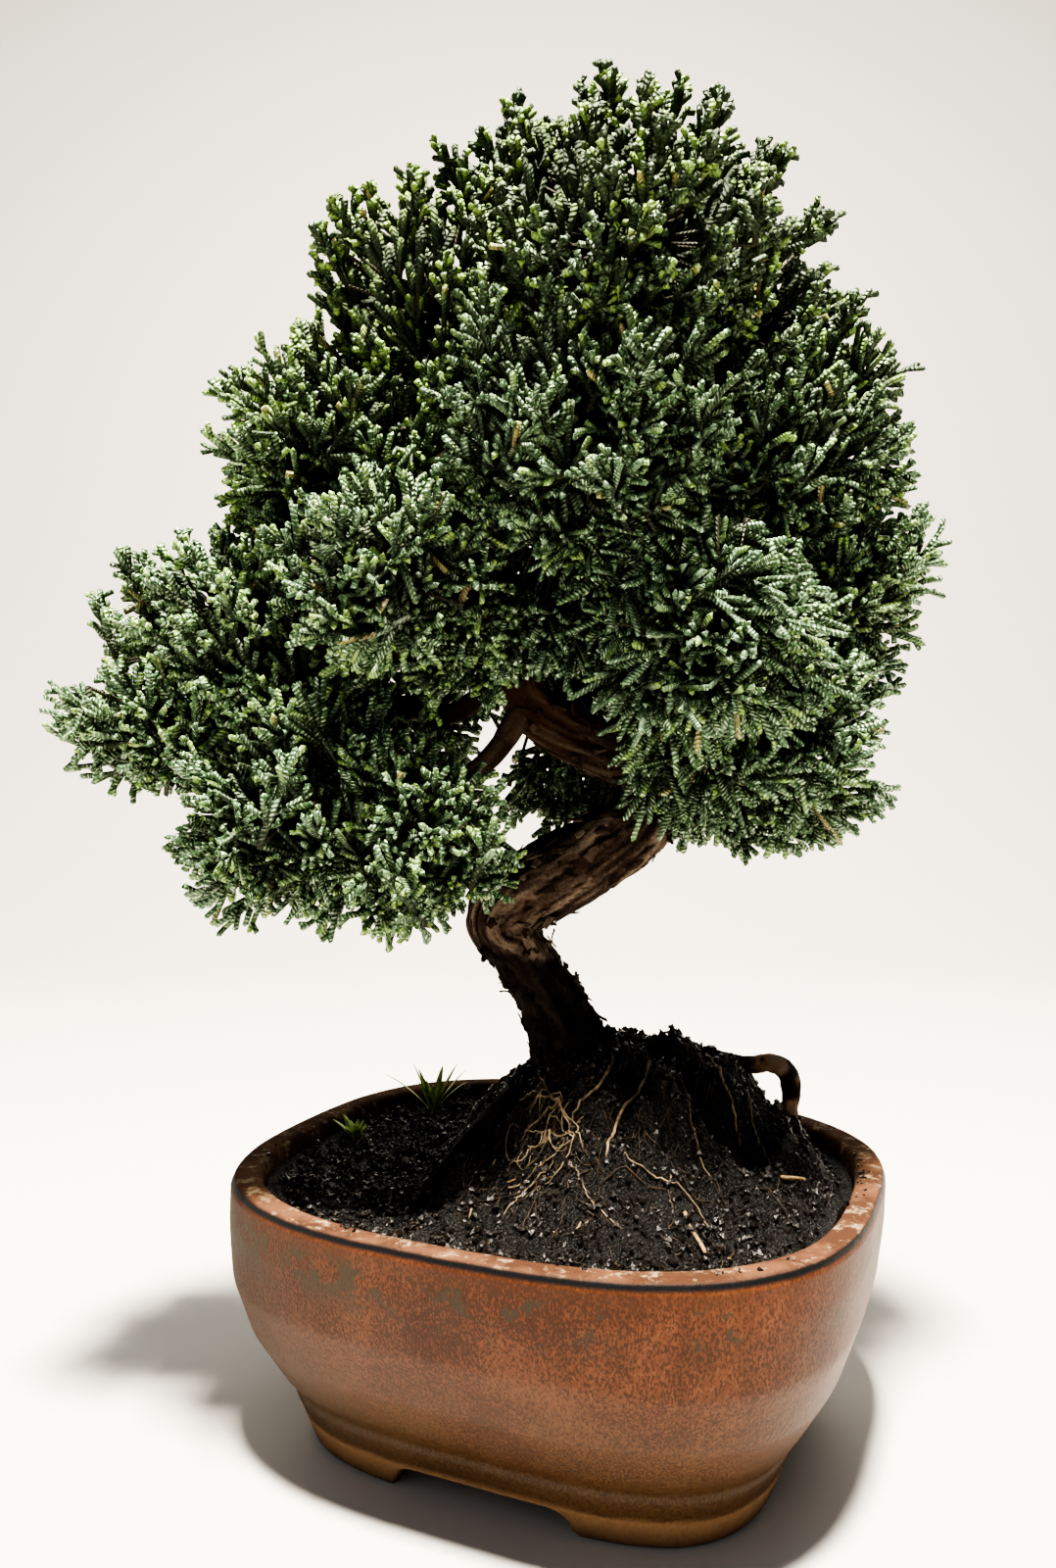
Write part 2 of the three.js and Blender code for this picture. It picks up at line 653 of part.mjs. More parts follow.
const woodHole = makeWood(GAP);
const soilCutters = [onPot(woodHole)];
for (const side of [-1, 1]) {
  const reach = SCREEN.side + 2 * GAP;
  const top = POT.floorZ + GAP + SCREEN.thickness + GAP;
  const pocket = box(reach, reach, 4, side * POT.drainOffset, 0, top - 2);
  soilCutters.push(toSolid(pocket));
}
Object.values(WEEDS).forEach((weed, index) => soilCutters.push(onPot(makeWeed(weed, index + 5, GAP))));
Object.values(STRAWS).forEach((straw) => soilCutters.push(onPot(makeStraw(straw, GAP))));

addPiece(bonsai, 'pot', makePot(), 'pot');
addPiece(bonsai, 'drain_screen_left', makeScreen(-1), 'screen');
addPiece(bonsai, 'drain_screen_right', makeScreen(1), 'screen');
addPiece(bonsai, 'soil', makeSoil(soilCutters), 'soil');
addPiece(tree, 'wood', makeWood(), 'wood');
const padSolids = makePads(woodHole);
Object.keys(PADS).forEach((name, index) => addPiece(tree, `foliage_${name}`, padSolids[index], 'foliage'));
Object.entries(WEEDS).forEach(([name, weed], index) => addPiece(tree, name, makeWeed(weed, index + 5), 'weed'));
Object.entries(STRAWS).forEach(([name, straw]) => addPiece(tree, name, makeStraw(straw), 'straw'));

// The origin is under the middle of the whole object, on the surface that the feet stand on.
bonsai.updateMatrixWorld(true);
const bounds = new THREE.Box3().setFromObject(bonsai, true);
const middle = bounds.getCenter(new THREE.Vector3());
bonsai.position.set(-middle.x, -middle.y, -bounds.min.z);

export default bonsai;
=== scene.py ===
"""Kishu juniper bonsai in a glazed pot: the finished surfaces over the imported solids.

Lengths are in millimetres until a piece's points are turned into metres of the row frame. The tree
is laid out in a front frame, X to the viewer's right and Y away from the viewer, which stands
turned on the pot; the pot and the soil's outline are laid out along the pot's own sides.
"""

import logging
import math
from dataclasses import dataclass
from enum import Enum

import bpy
import numpy as np
from bpy.types import Material, Node, NodeSocket, NodeTree, Object
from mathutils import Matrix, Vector
from numpy.random import Generator


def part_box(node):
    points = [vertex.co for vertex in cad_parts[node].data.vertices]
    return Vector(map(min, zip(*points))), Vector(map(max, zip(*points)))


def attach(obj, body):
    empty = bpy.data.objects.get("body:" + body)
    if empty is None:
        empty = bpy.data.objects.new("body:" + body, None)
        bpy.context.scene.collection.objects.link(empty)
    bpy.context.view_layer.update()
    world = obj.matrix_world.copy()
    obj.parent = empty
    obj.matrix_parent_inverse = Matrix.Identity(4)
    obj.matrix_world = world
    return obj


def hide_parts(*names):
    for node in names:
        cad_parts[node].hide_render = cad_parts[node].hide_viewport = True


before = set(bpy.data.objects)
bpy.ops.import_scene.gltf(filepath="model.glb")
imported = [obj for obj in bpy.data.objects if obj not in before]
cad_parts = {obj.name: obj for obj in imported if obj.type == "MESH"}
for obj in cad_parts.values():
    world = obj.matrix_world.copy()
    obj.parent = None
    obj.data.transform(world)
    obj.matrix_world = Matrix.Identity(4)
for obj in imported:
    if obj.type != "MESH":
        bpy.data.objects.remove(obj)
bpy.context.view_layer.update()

Array = np.ndarray
Skin = tuple[Array, Array]  # vertices, and faces with -1 for no fourth corner

LOG = logging.getLogger("bonsai")
METRE = 0.001
FRONT_TURN = math.radians(23.5)
POT_LOW, POT_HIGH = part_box("pot")
POT_CENTRE = np.array([(low + high) / 2 / METRE for low, high in zip(POT_LOW[:2], POT_HIGH[:2])])

# Attributes of the shoots that the foliage's material reads.
SHOOT_VALUES = ("phase", "outer", "young", "woody", "chance", "wax_and_light")

# Turn in radians from one twig or leaf to the next round its stem.
GOLDEN_TURN = 2.4

# Odd factors that scatter a lattice corner's place and the seed over all the bits of its hash.
HASH_PLACE = (73856093, 19349663, 83492791)
HASH_SEED = 2654435761
HASH_STIR = 1274126177

# Inputs of Map Range and Noise Texture nodes in the order of a table's columns. Then output and
# inputs of chained nodes: colours laid over each other, as share and colour, and a product.
RANGE_INPUTS = ("Value", "From Min", "From Max", "To Min", "To Max")
NOISE_INPUTS = ("Vector", "Scale", "Detail", "Roughness")
COLOUR_MIX = (2, 6, 0, 7)
FACTORS = (0, 0, 1)


def unit(vectors: Array) -> Array:
    """Vectors along the last axis at length one."""
    return vectors / np.maximum(np.linalg.norm(vectors, axis=-1, keepdims=True), 1e-12)


def smoothstep(values: Array, low: float, high: float) -> Array:
    """S-shaped rise from 0 at low to 1 at high: 3t^2 - 2t^3."""
    t = np.clip((values - low) / (high - low), 0, 1)
    return t * t * (3 - 2 * t)


def pot_to_row(points: Array) -> Array:
    """Millimetres along the pot's sides, to metres of the row frame."""
    placed = np.array(points, dtype=float)
    placed[..., :2] += POT_CENTRE
    return placed * METRE


def turned(points: Array, angle: float) -> Array:
    """Points turned about Z: x cos - y sin, and x sin + y cos.

    Args:
        points: places along the last axis.
        angle: turn in radians.

    Returns:
        The turned places.
    """
    cosine, sine = math.cos(angle), math.sin(angle)
    spun = np.array(points, dtype=float)
    spun[..., 0] = cosine * points[..., 0] - sine * points[..., 1]
    spun[..., 1] = sine * points[..., 0] + cosine * points[..., 1]
    return spun


def front_to_pot(points: Array) -> Array:
    """Millimetres of the front frame, turned to lie along the pot's sides."""
    return turned(points, FRONT_TURN)


def pot_to_front(points: Array) -> Array:
    """Millimetres along the pot's sides, turned into the front frame."""
    return turned(points, -FRONT_TURN)


def front_to_row(points: Array) -> Array:
    """Millimetres of the front frame, to metres of the row frame."""
    return pot_to_row(front_to_pot(points))


def lattice_noise(points: Array, seed: int) -> Array:
    """Smooth noise from 0 to 1: hashed values on a unit lattice, blended by an S-curve.

    Args:
        points: places in lattice units.
        seed: number that picks the pattern.

    Returns:
        One value for each point.
    """
    cell = np.floor(points)
    share = points - cell
    share = share * share * (3 - 2 * share)
    cell = cell.astype(np.int64)
    total = np.zeros(points.shape[:-1])
    for corner in np.ndindex(2, 2, 2):
        x, y, z = ((cell[..., axis] + corner[axis]) * HASH_PLACE[axis] for axis in range(3))
        mixed = x ^ y ^ z ^ (seed * HASH_SEED)
        mixed = (mixed ^ (mixed >> 13)) * HASH_STIR & 0xFFFFFFFF
        mixed = (mixed ^ (mixed >> 16)) & 0xFFFFFF
        nearness = [share[..., axis] if corner[axis] else 1 - share[..., axis] for axis in range(3)]
        total += np.prod(nearness, axis=0) * mixed / 0xFFFFFF
    return total


def layered_noise(points: Array, size: float, octaves: int, seed: int) -> Array:
    """Sum of lattice noises, each half as large and half as strong, from 0 to 1.

    Args:
        points: places in millimetres.
        size: millimetres across the largest cells.
        octaves: how many noises are summed.
        seed: number that picks the pattern.

    Returns:
        One value for each point.
    """
    total = np.zeros(points.shape[:-1])
    strength = 1.0
    for octave in range(octaves):
        total += strength * lattice_noise(points * 2 ** octave / size, seed + octave)
        strength *= 0.5
    return total / (2 - 2 * strength)


def cell_plates(u: Array, v: Array, around: int, seed: int) -> tuple[Array, Array]:
    """Irregular plates: each place belongs to the nearest of one random point in every unit cell.

    Args:
        u: place round the trunk, in cells, which meets itself after around cells.
        v: place along the trunk, in cells.
        around: how many cells go round.
        seed: number that picks the pattern.

    Returns:
        Distance into the plate from its seam, and the plate's own random value, both from 0 up.
    """
    first = np.full(u.shape, 9.0)
    second = np.full(u.shape, 9.0)
    value = np.zeros(u.shape)
    for step in np.ndindex(3, 3):
        cell_u, cell_v = np.floor(u) + step[0] - 1, np.floor(v) + step[1] - 1
        wrapped = np.stack([np.mod(cell_u, around), cell_v, 0 * cell_u], axis=-1)
        jitter_u, jitter_v, own = (lattice_noise(wrapped, seed + offset) for offset in (1, 2, 3))
        distance = np.hypot(cell_u + jitter_u - u, cell_v + jitter_v - v)
        nearer = distance < first
        second = np.where(nearer, first, np.minimum(second, distance))
        value = np.where(nearer, own, value)
        first = np.where(nearer, distance, first)
    return second - first, value


def spline(points: Array, count: int) -> Array:
    """Centripetal Catmull-Rom curve through points, at even steps of its parameter.

    Args:
        points: rows of x, y, z and any further values, which are joined by straight lines.
        count: how many rows to return.

    Returns:
        Rows like those given, along the curve.
    """
    points = np.asarray(points, dtype=float)
    place = np.linspace(0, len(points) - 1, count)
    index = np.minimum(place.astype(int), len(points) - 2)
    share = (place - index)[:, None]
    first = 2 * points[:1] - points[1:2]
    last = 2 * points[-1:] - points[-2:-1]
    padded = np.concatenate([first, points, last])[:, :3]
    p0, p1, p2, p3 = (padded[index + offset] for offset in range(4))
    d0, d1, d2 = (
        np.maximum(np.linalg.norm(after - before, axis=1, keepdims=True) ** 0.5, 1e-4)
        for before, after in ((p0, p1), (p1, p2), (p2, p3))
    )
    m1 = ((p1 - p0) / d0 - (p2 - p0) / (d0 + d1) + (p2 - p1) / d1) * d1
    m2 = ((p2 - p1) / d1 - (p3 - p1) / (d1 + d2) + (p3 - p2) / d2) * d1
    s2, s3 = share ** 2, share ** 3
    curve = (2 * s3 - 3 * s2 + 1) * p1 + (s3 - 2 * s2 + share) * m1
    curve = curve + (3 * s2 - 2 * s3) * p2 + (s3 - s2) * m2
    rest = points[index, 3:] * (1 - share) + points[index + 1, 3:] * share
    return np.concatenate([curve, rest], axis=1)


def frames_along(path: Array) -> tuple[Array, Array, Array]:
    """Tangent, normal and binormal along each path, from the axis least in line with it.

    Args:
        path: points along the last but one axis.

    Returns:
        Three arrays shaped as path.
    """
    tangent = unit(np.gradient(path, axis=-2))
    mean = np.abs(tangent).mean(axis=-2, keepdims=True)
    reference = np.eye(3)[np.argmin(mean, axis=-1)]
    normal = unit(reference - (reference * tangent).sum(-1, keepdims=True) * tangent)
    return tangent, normal, np.cross(tangent, normal)


def ring_faces(rings: int, sides: int) -> Array:
    """Quads between closed rings, stacked from the first ring to the last.

    Args:
        rings: how many rings.
        sides: points on a ring.

    Returns:
        Rows of four corners.
    """
    ring, side = np.meshgrid(np.arange(rings - 1), np.arange(sides), indexing="ij")
    low = ring * sides + side
    low_next = ring * sides + (side + 1) % sides
    return np.stack([low, low_next, low_next + sides, low + sides], axis=-1).reshape(-1, 4)


def capped_rings(rings: Array) -> Skin:
    """Closed skin over rings: quads between them and a fan to the middle of each end.

    Args:
        rings: points shaped (rings, sides, 3).

    Returns:
        Vertices and faces of four corners, where a fan's triangle has -1 for the fourth.
    """
    count, sides = rings.shape[:2]
    centres = np.stack([rings[0].mean(axis=0), rings[-1].mean(axis=0)])
    points = np.concatenate([rings.reshape(-1, 3), centres])
    side = np.arange(sides)
    following = (side + 1) % sides
    low, high = count * sides, count * sides + 1
    top = (count - 1) * sides
    none = np.full(sides, -1)
    bottom_fan = np.stack([following, side, np.full(sides, low), none], axis=1)
    top_fan = np.stack([top + side, top + following, np.full(sides, high), none], axis=1)
    return points, np.concatenate([ring_faces(count, sides), bottom_fan, top_fan])


def tube(path: Array, radius: Array, sides: int) -> Skin:
    """Round tube with flat ends along a path: point + radius * (cos * normal + sin * binormal).

    Args:
        path: points of the middle line.
        radius: one for each point, or one for each corner.
        sides: corners of a ring.

    Returns:
        The closed skin.
    """
    _, normal, binormal = frames_along(path)
    angle = np.linspace(0, 2 * np.pi, sides, endpoint=False)[None, :, None]
    rings = path[:, None] + radius.reshape(len(path), -1, 1) * (
        np.cos(angle) * normal[:, None] + np.sin(angle) * binormal[:, None]
    )
    return capped_rings(rings)


def joined(parts: list[Skin]) -> Skin:
    """Several skins as one list of vertices and one of faces, with -1 kept as no corner.

    Args:
        parts: the skins.

    Returns:
        The skin of them all.
    """
    points, faces, start = [], [], 0
    for part_points, part_faces in parts:
        points.append(part_points)
        faces.append(np.where(part_faces >= 0, part_faces + start, -1))
        start += len(part_points)
    return np.concatenate(points), np.concatenate(faces)


def repeated(faces: Array, copies: int, corners: int) -> Array:
    """Faces of equal skins, each with so many corners, stacked in one list of vertices."""
    starts = (np.arange(copies) * corners)[:, None, None]
    return np.where(faces >= 0, faces + starts, -1).reshape(-1, 4)


def make_piece(name: str, points: Array, faces: Array, smooth: bool = True) -> Object:
    """Puts a skin into a mesh object at the origin.

    Args:
        name: the object's name.
        points: vertices in metres of the row frame.
        faces: corners of each face, with -1 for no fourth corner.
        smooth: whether its shading runs smoothly over the faces.

    Returns:
        The new object, linked to the scene.
    """
    mesh = bpy.data.meshes.new(name)
    used = faces >= 0
    totals = used.sum(axis=1)
    corners = faces[used].astype(np.int32)
    mesh.vertices.add(len(points))
    mesh.vertices.foreach_set("co", np.ascontiguousarray(points, dtype=np.float32).ravel())
    mesh.loops.add(len(corners))
    mesh.loops.foreach_set("vertex_index", corners)
    mesh.polygons.add(len(faces))
    starts = np.concatenate([[0], np.cumsum(totals)[:-1]]).astype(np.int32)
    mesh.polygons.foreach_set("loop_start", starts)
    mesh.polygons.foreach_set("use_smooth", np.full(len(faces), smooth))
    mesh.update(calc_edges=True)
    mesh.validate()
    piece = bpy.data.objects.new(name, mesh)
    bpy.context.scene.collection.objects.link(piece)
    return piece


def set_attribute(piece: Object, name: str, values: Array) -> None:
    """Stores one number for each vertex of a piece, for its material to read."""
    layer = piece.data.attributes.new(name, "FLOAT", "POINT")
    layer.data.foreach_set("value", np.ascontiguousarray(values, dtype=np.float32))


def finish_piece(piece: Object, material: Material, slot: str, *nodes: str) -> None:
    """Gives a piece its material and body, and hides the solids that it stands for.

    Args:
        piece: the object.
        material: its finish.
        slot: not used.
        *nodes: the solids that it stands for.
    """
    piece.data.materials.append(material)
    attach(piece, "root")
    if nodes:
        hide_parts(*nodes)
    LOG.info("%s: %d faces", piece.name, len(piece.data.polygons))


def front_piece(
    name: str, parts: list[Skin], material: Material, slot: str, *nodes: str, smooth: bool = True
) -> Object:
    """Joins skins that are laid out in the front frame into one finished piece.

    Args:
        name: the piece's name.
        parts: vertices in millimetres and faces of each skin.
        material: its finish.
        slot: the slot of the finish.
        *nodes: the solids that it stands for.
        smooth: whether its shading runs smoothly over the faces.

    Returns:
        The piece.
    """
    points, faces = joined(parts)
    piece = make_piece(name, front_to_row(points), faces, smooth)
    finish_piece(piece, material, slot, *nodes)
    return piece


def linear(colour: str) -> tuple[float, float, float, float]:
    """sRGB hex colour as linear red, green, blue and alpha 1.

    A low part is divided by 12.92, and any other is ((part + 0.055) / 1.055)^2.4.
    """
    parts = np.array([int(colour[start:start + 2], 16) / 255 for start in (1, 3, 5)])
    bright = np.where(parts <= 0.04045, parts / 12.92, ((parts + 0.055) / 1.055) ** 2.4)
    return (*bright.tolist(), 1.0)


def per_metre(size: float) -> float:
    """Scale of a noise whose largest cells are so many millimetres across."""
    return 1 / (size * METRE)


def add_node(tree: NodeTree, kind: str, inputs: dict | None = None, **settings) -> Node:
    """Adds a node with its settings, values and links.

    Args:
        tree: the material's node tree.
        kind: the node's type.
        inputs: socket name or number to a value, a hex colour or the socket that feeds it.
        **settings: the node's own properties; stops is a list of position and hex colour.

    Returns:
        The new node.
    """
    node = tree.nodes.new(kind)
    stops = settings.pop("stops", None)
    for name, value in settings.items():
        setattr(node, name, value)
    for socket, value in (inputs or {}).items():
        if isinstance(value, NodeSocket):
            tree.links.new(value, node.inputs[socket])
        else:
            node.inputs[socket].default_value = linear(value) if isinstance(value, str) else value
    if stops:
        elements = node.color_ramp.elements
        while len(elements) < len(stops):
            elements.new(0.5)
        for element, (position, colour) in zip(elements, stops):
            element.position = position
            element.color = linear(colour)
    return node


def add_nodes(
    tree: NodeTree, kind: str, sockets: tuple, rows: dict[str, tuple], **settings
) -> dict[str, NodeSocket]:
    """Adds a node for each row of a table.

    Args:
        tree: the material's node tree.
        kind: the type of the nodes.
        sockets: name or number of the input that each column is for.
        rows: each node's name in the table, and what add_node puts into its inputs.
        **settings: properties that the nodes share.

    Returns:
        The first output of each node, by its name in the table.
    """
    return {
        name: add_node(tree, kind, dict(zip(sockets, row)), **settings).outputs[0]
        for name, row in rows.items()
    }


def chain_nodes(
    tree: NodeTree, kind: str, sockets: tuple, first: NodeSocket | str, rows: tuple, **settings
) -> NodeSocket:
    """Adds a node for each row, which works on the result of the one before.

    Args:
        tree: the material's node tree.
        kind: the type of the nodes.
        sockets: output, input for the result before it, and an input for each column of the rows.
        first: what the first node works on.
        rows: values, hex colours or sockets.
        **settings: properties that the nodes share.

    Returns:
        The last output.
    """
    for row in rows:
        inputs = dict(zip(sockets[1:], (first, *row)))
        first = add_node(tree, kind, inputs, **settings).outputs[sockets[0]]
    return first


def new_material(name: str) -> tuple[Material, NodeTree, NodeSocket]:
    """An empty material, its tree, and the output's surface socket.

    Args:
        name: the material's name.

    Returns:
        The material, the tree and the socket.
    """
    material = bpy.data.materials.new(name)
    material.use_nodes = True
    tree = material.node_tree
    tree.nodes.clear()
    output = tree.nodes.new("ShaderNodeOutputMaterial")
    return material, tree, output.inputs["Surface"]


@dataclass(frozen=True)
class ScaleFoliage:
    """Living scale leaves: waxy green cords, with painted shade deep in the pads, in the seams
    between the scales and high up, and a painted highlight on the scales' crests.
    """

    # deep_shade, inner and outer run from the middle of a pad out to its surface; the dark inside
    # is painted shade.
    deep_shade: str = "#0e160b"
    inner: str = "#28391f"
    outer: str = "#45633e"
    tip: str = "#7f9f4c"
    bloom: str = "#8fae97"
    # scale is the painted highlight on the scales' crests, and seam the painted shade in the seams
    # between them.
    scale: str = "#e2f2d6"
    seam: str = "#16220e"
    twig: str = "#24170f"
    dry: str = "#8f7d55"
    sheen: str = "#e4f2d8"
    patch_size: float = 45.4545
    highlight_spot_size: float = 1.5625
    seam_depth: float = 0.3

    def build(self) -> Material:
        """The foliage material, read from the attributes that the shoots carry."""
        material, tree, surface = new_material("juniper_scale_leaves")
        phase, outer, young, woody, chance, wax_and_light = (
            add_node(tree, "ShaderNodeAttribute", attribute_name=name).outputs["Fac"]
            for name in SHOOT_VALUES
        )
        place = add_node(tree, "ShaderNodeTexCoord").outputs["Object"]
        noise = add_nodes(tree, "ShaderNodeTexNoise", NOISE_INPUTS[:3], {
            "patch": (place, per_metre(self.patch_size), 2.0),
            "highlight_spots": (place, per_metre(self.highlight_spot_size), 2.0),
        })
        wave = add_node(tree, "ShaderNodeMath", {0: phase}, operation="SINE").outputs[0]
        patchy = add_node(
            tree, "ShaderNodeMath", {0: noise["patch"], 1: chance}, operation="MULTIPLY")
        masks = add_nodes(tree, "ShaderNodeMapRange", RANGE_INPUTS, {
            "bloom": (patchy.outputs[0], 0.12, 0.5, 0.0, 0.5),
            "dry": (chance, 0.985, 0.992, 0.0, 0.7),
            # Painted shade in the seams between the scales, and a painted highlight on their
            # crests.
            "seam": (wave, -0.95, 0.0, 0.24, 0.0),
            "crest": (wave, 0.2, 1.0, 0.0, 0.9),
            "highlight_spots": (noise["highlight_spots"], 0.47, 0.6, 0.0, 1.25),
            "rough": (outer, 0.0, 0.6, 0.95, 0.35),
        })
        # The bloom shows only where the shoot is waxy and its painted light strong, and the scales'
        # painted highlight is broken into spots.
        bloom, crest = (
            chain_nodes(tree, "ShaderNodeMath", FACTORS, masks[name], rows, operation="MULTIPLY")
            for name, rows in (("bloom", ((wax_and_light,), (outer,))),
                               ("crest", ((masks["highlight_spots"],), (outer,), (wax_and_light,))))
        )
        # Green by how open the shoot is: darker inward and high up, as painted shade.
        colour = add_node(tree, "ShaderNodeValToRGB", {0: outer}, stops=[
            (0.0, self.deep_shade), (0.5, self.inner), (0.95, self.outer)]).outputs[0]
        colour = chain_nodes(tree, "ShaderNodeMix", COLOUR_MIX, colour, (
            (bloom, self.bloom), (young, self.tip), (masks["dry"], self.dry),
            (masks["seam"], self.seam), (crest, self.scale), (woody, self.twig),
        ), data_type="RGBA")
        bump = add_node(tree, "ShaderNodeBump", {
            "Strength": 0.6, "Distance": self.seam_depth * METRE, "Height": wave})
        shader = add_node(tree, "ShaderNodeBsdfPrincipled", {
            "Base Color": colour, "Roughness": masks["rough"], "Normal": bump.outputs[0],
            "Specular Tint": self.sheen})
        tree.links.new(shader.outputs[0], surface)
        return material


@dataclass(frozen=True)
class FlakingBark:
    """Juniper bark that peels in plates: grey-brown outside, darker if fresh, soil-black below;
    painted shade darkens its cracks, its upper part and its foot.
    """

    crevice_shade: str = "#090604"
    fresh: str = "#2e1f16"
    plate: str = "#4c3f35"
    weathered: str = "#776859"
    shade_red: str = "#39200f"
    root: str = "#7d6046"
    root_dark: str = "#2f1f14"
    stain: str = "#110b08"
    stain_top: float = 0.156
    red_from: float = 0.212
    fine_size: float = 1.1111
    broad_size: float = 13.3333
    grain_depth: float = 1.0

    def build(self) -> Material:
        """The bark material: colour from the relief, the height over the table and fine grain."""
        material, tree, surface = new_material("peeling_juniper_bark")
        relief, tan = (
            add_node(tree, "ShaderNodeAttribute", attribute_name=name).outputs["Fac"]
            for name in ("relief", "tan")
        )
        place = add_node(tree, "ShaderNodeTexCoord").outputs["Object"]
        height = add_node(tree, "ShaderNodeSeparateXYZ", {0: place}).outputs["Z"]
        noise = add_nodes(tree, "ShaderNodeTexNoise", NOISE_INPUTS, {
            "fine": (place, per_metre(self.fine_size), 5.0, 0.75),
            "broad": (place, per_metre(self.broad_size), 4.0, 0.6),
        })
        tone = chain_nodes(
            tree, "ShaderNodeMath", (0, 2, 0, 1), relief,
            ((noise["fine"], 0.85), (noise["broad"], 0.5)), operation="MULTIPLY_ADD")
        tone = add_node(tree, "ShaderNodeMath", {0: tone, 1: 0.67}, operation="SUBTRACT")
        edge = add_node(tree, "ShaderNodeMath", {
            0: noise["broad"], 1: 0.034, 2: height}, operation="MULTIPLY_ADD").outputs[0]
        masks = add_nodes(tree, "ShaderNodeMapRange", RANGE_INPUTS, {
            # Dark red-brown up high: the bark's own red, darkened as painted shade under the pads.
            "red": (height, self.red_from - 0.012, self.red_from + 0.03, 0.0, 0.72),
            # Near black below stain_top: a soil stain, deepened as painted shade.
            "wet": (edge, self.stain_top + 0.013, self.stain_top + 0.019, 0.88, 0.0),
        })
        # The plates' own tones, near black in the cracks as painted shade.
        colour = add_node(tree, "ShaderNodeValToRGB", {0: tone.outputs[0]}, stops=[
            (0.08, self.crevice_shade), (0.3, self.fresh), (0.52, self.plate), (0.85, self.weathered),
        ]).outputs[0]
        skin = add_node(tree, "ShaderNodeValToRGB", {0: noise["broad"]}, stops=[
            (0.42, self.root_dark), (0.5, self.root), (0.62, self.weathered)]).outputs[0]
        colour = chain_nodes(tree, "ShaderNodeMix", COLOUR_MIX, colour, (
            (masks["red"], self.shade_red), (masks["wet"], self.stain), (tan, skin),
        ), data_type="RGBA")
        bump = add_node(tree, "ShaderNodeBump", {
            "Strength": 0.9, "Distance": self.grain_depth * METRE, "Height": noise["fine"]})
        shader = add_node(tree, "ShaderNodeBsdfPrincipled", {
            "Base Color": colour, "Roughness": 0.9, "Normal": bump.outputs[0],
            "Specular IOR Level": 0.15})
        tree.links.new(shader.outputs[0], surface)
        return material


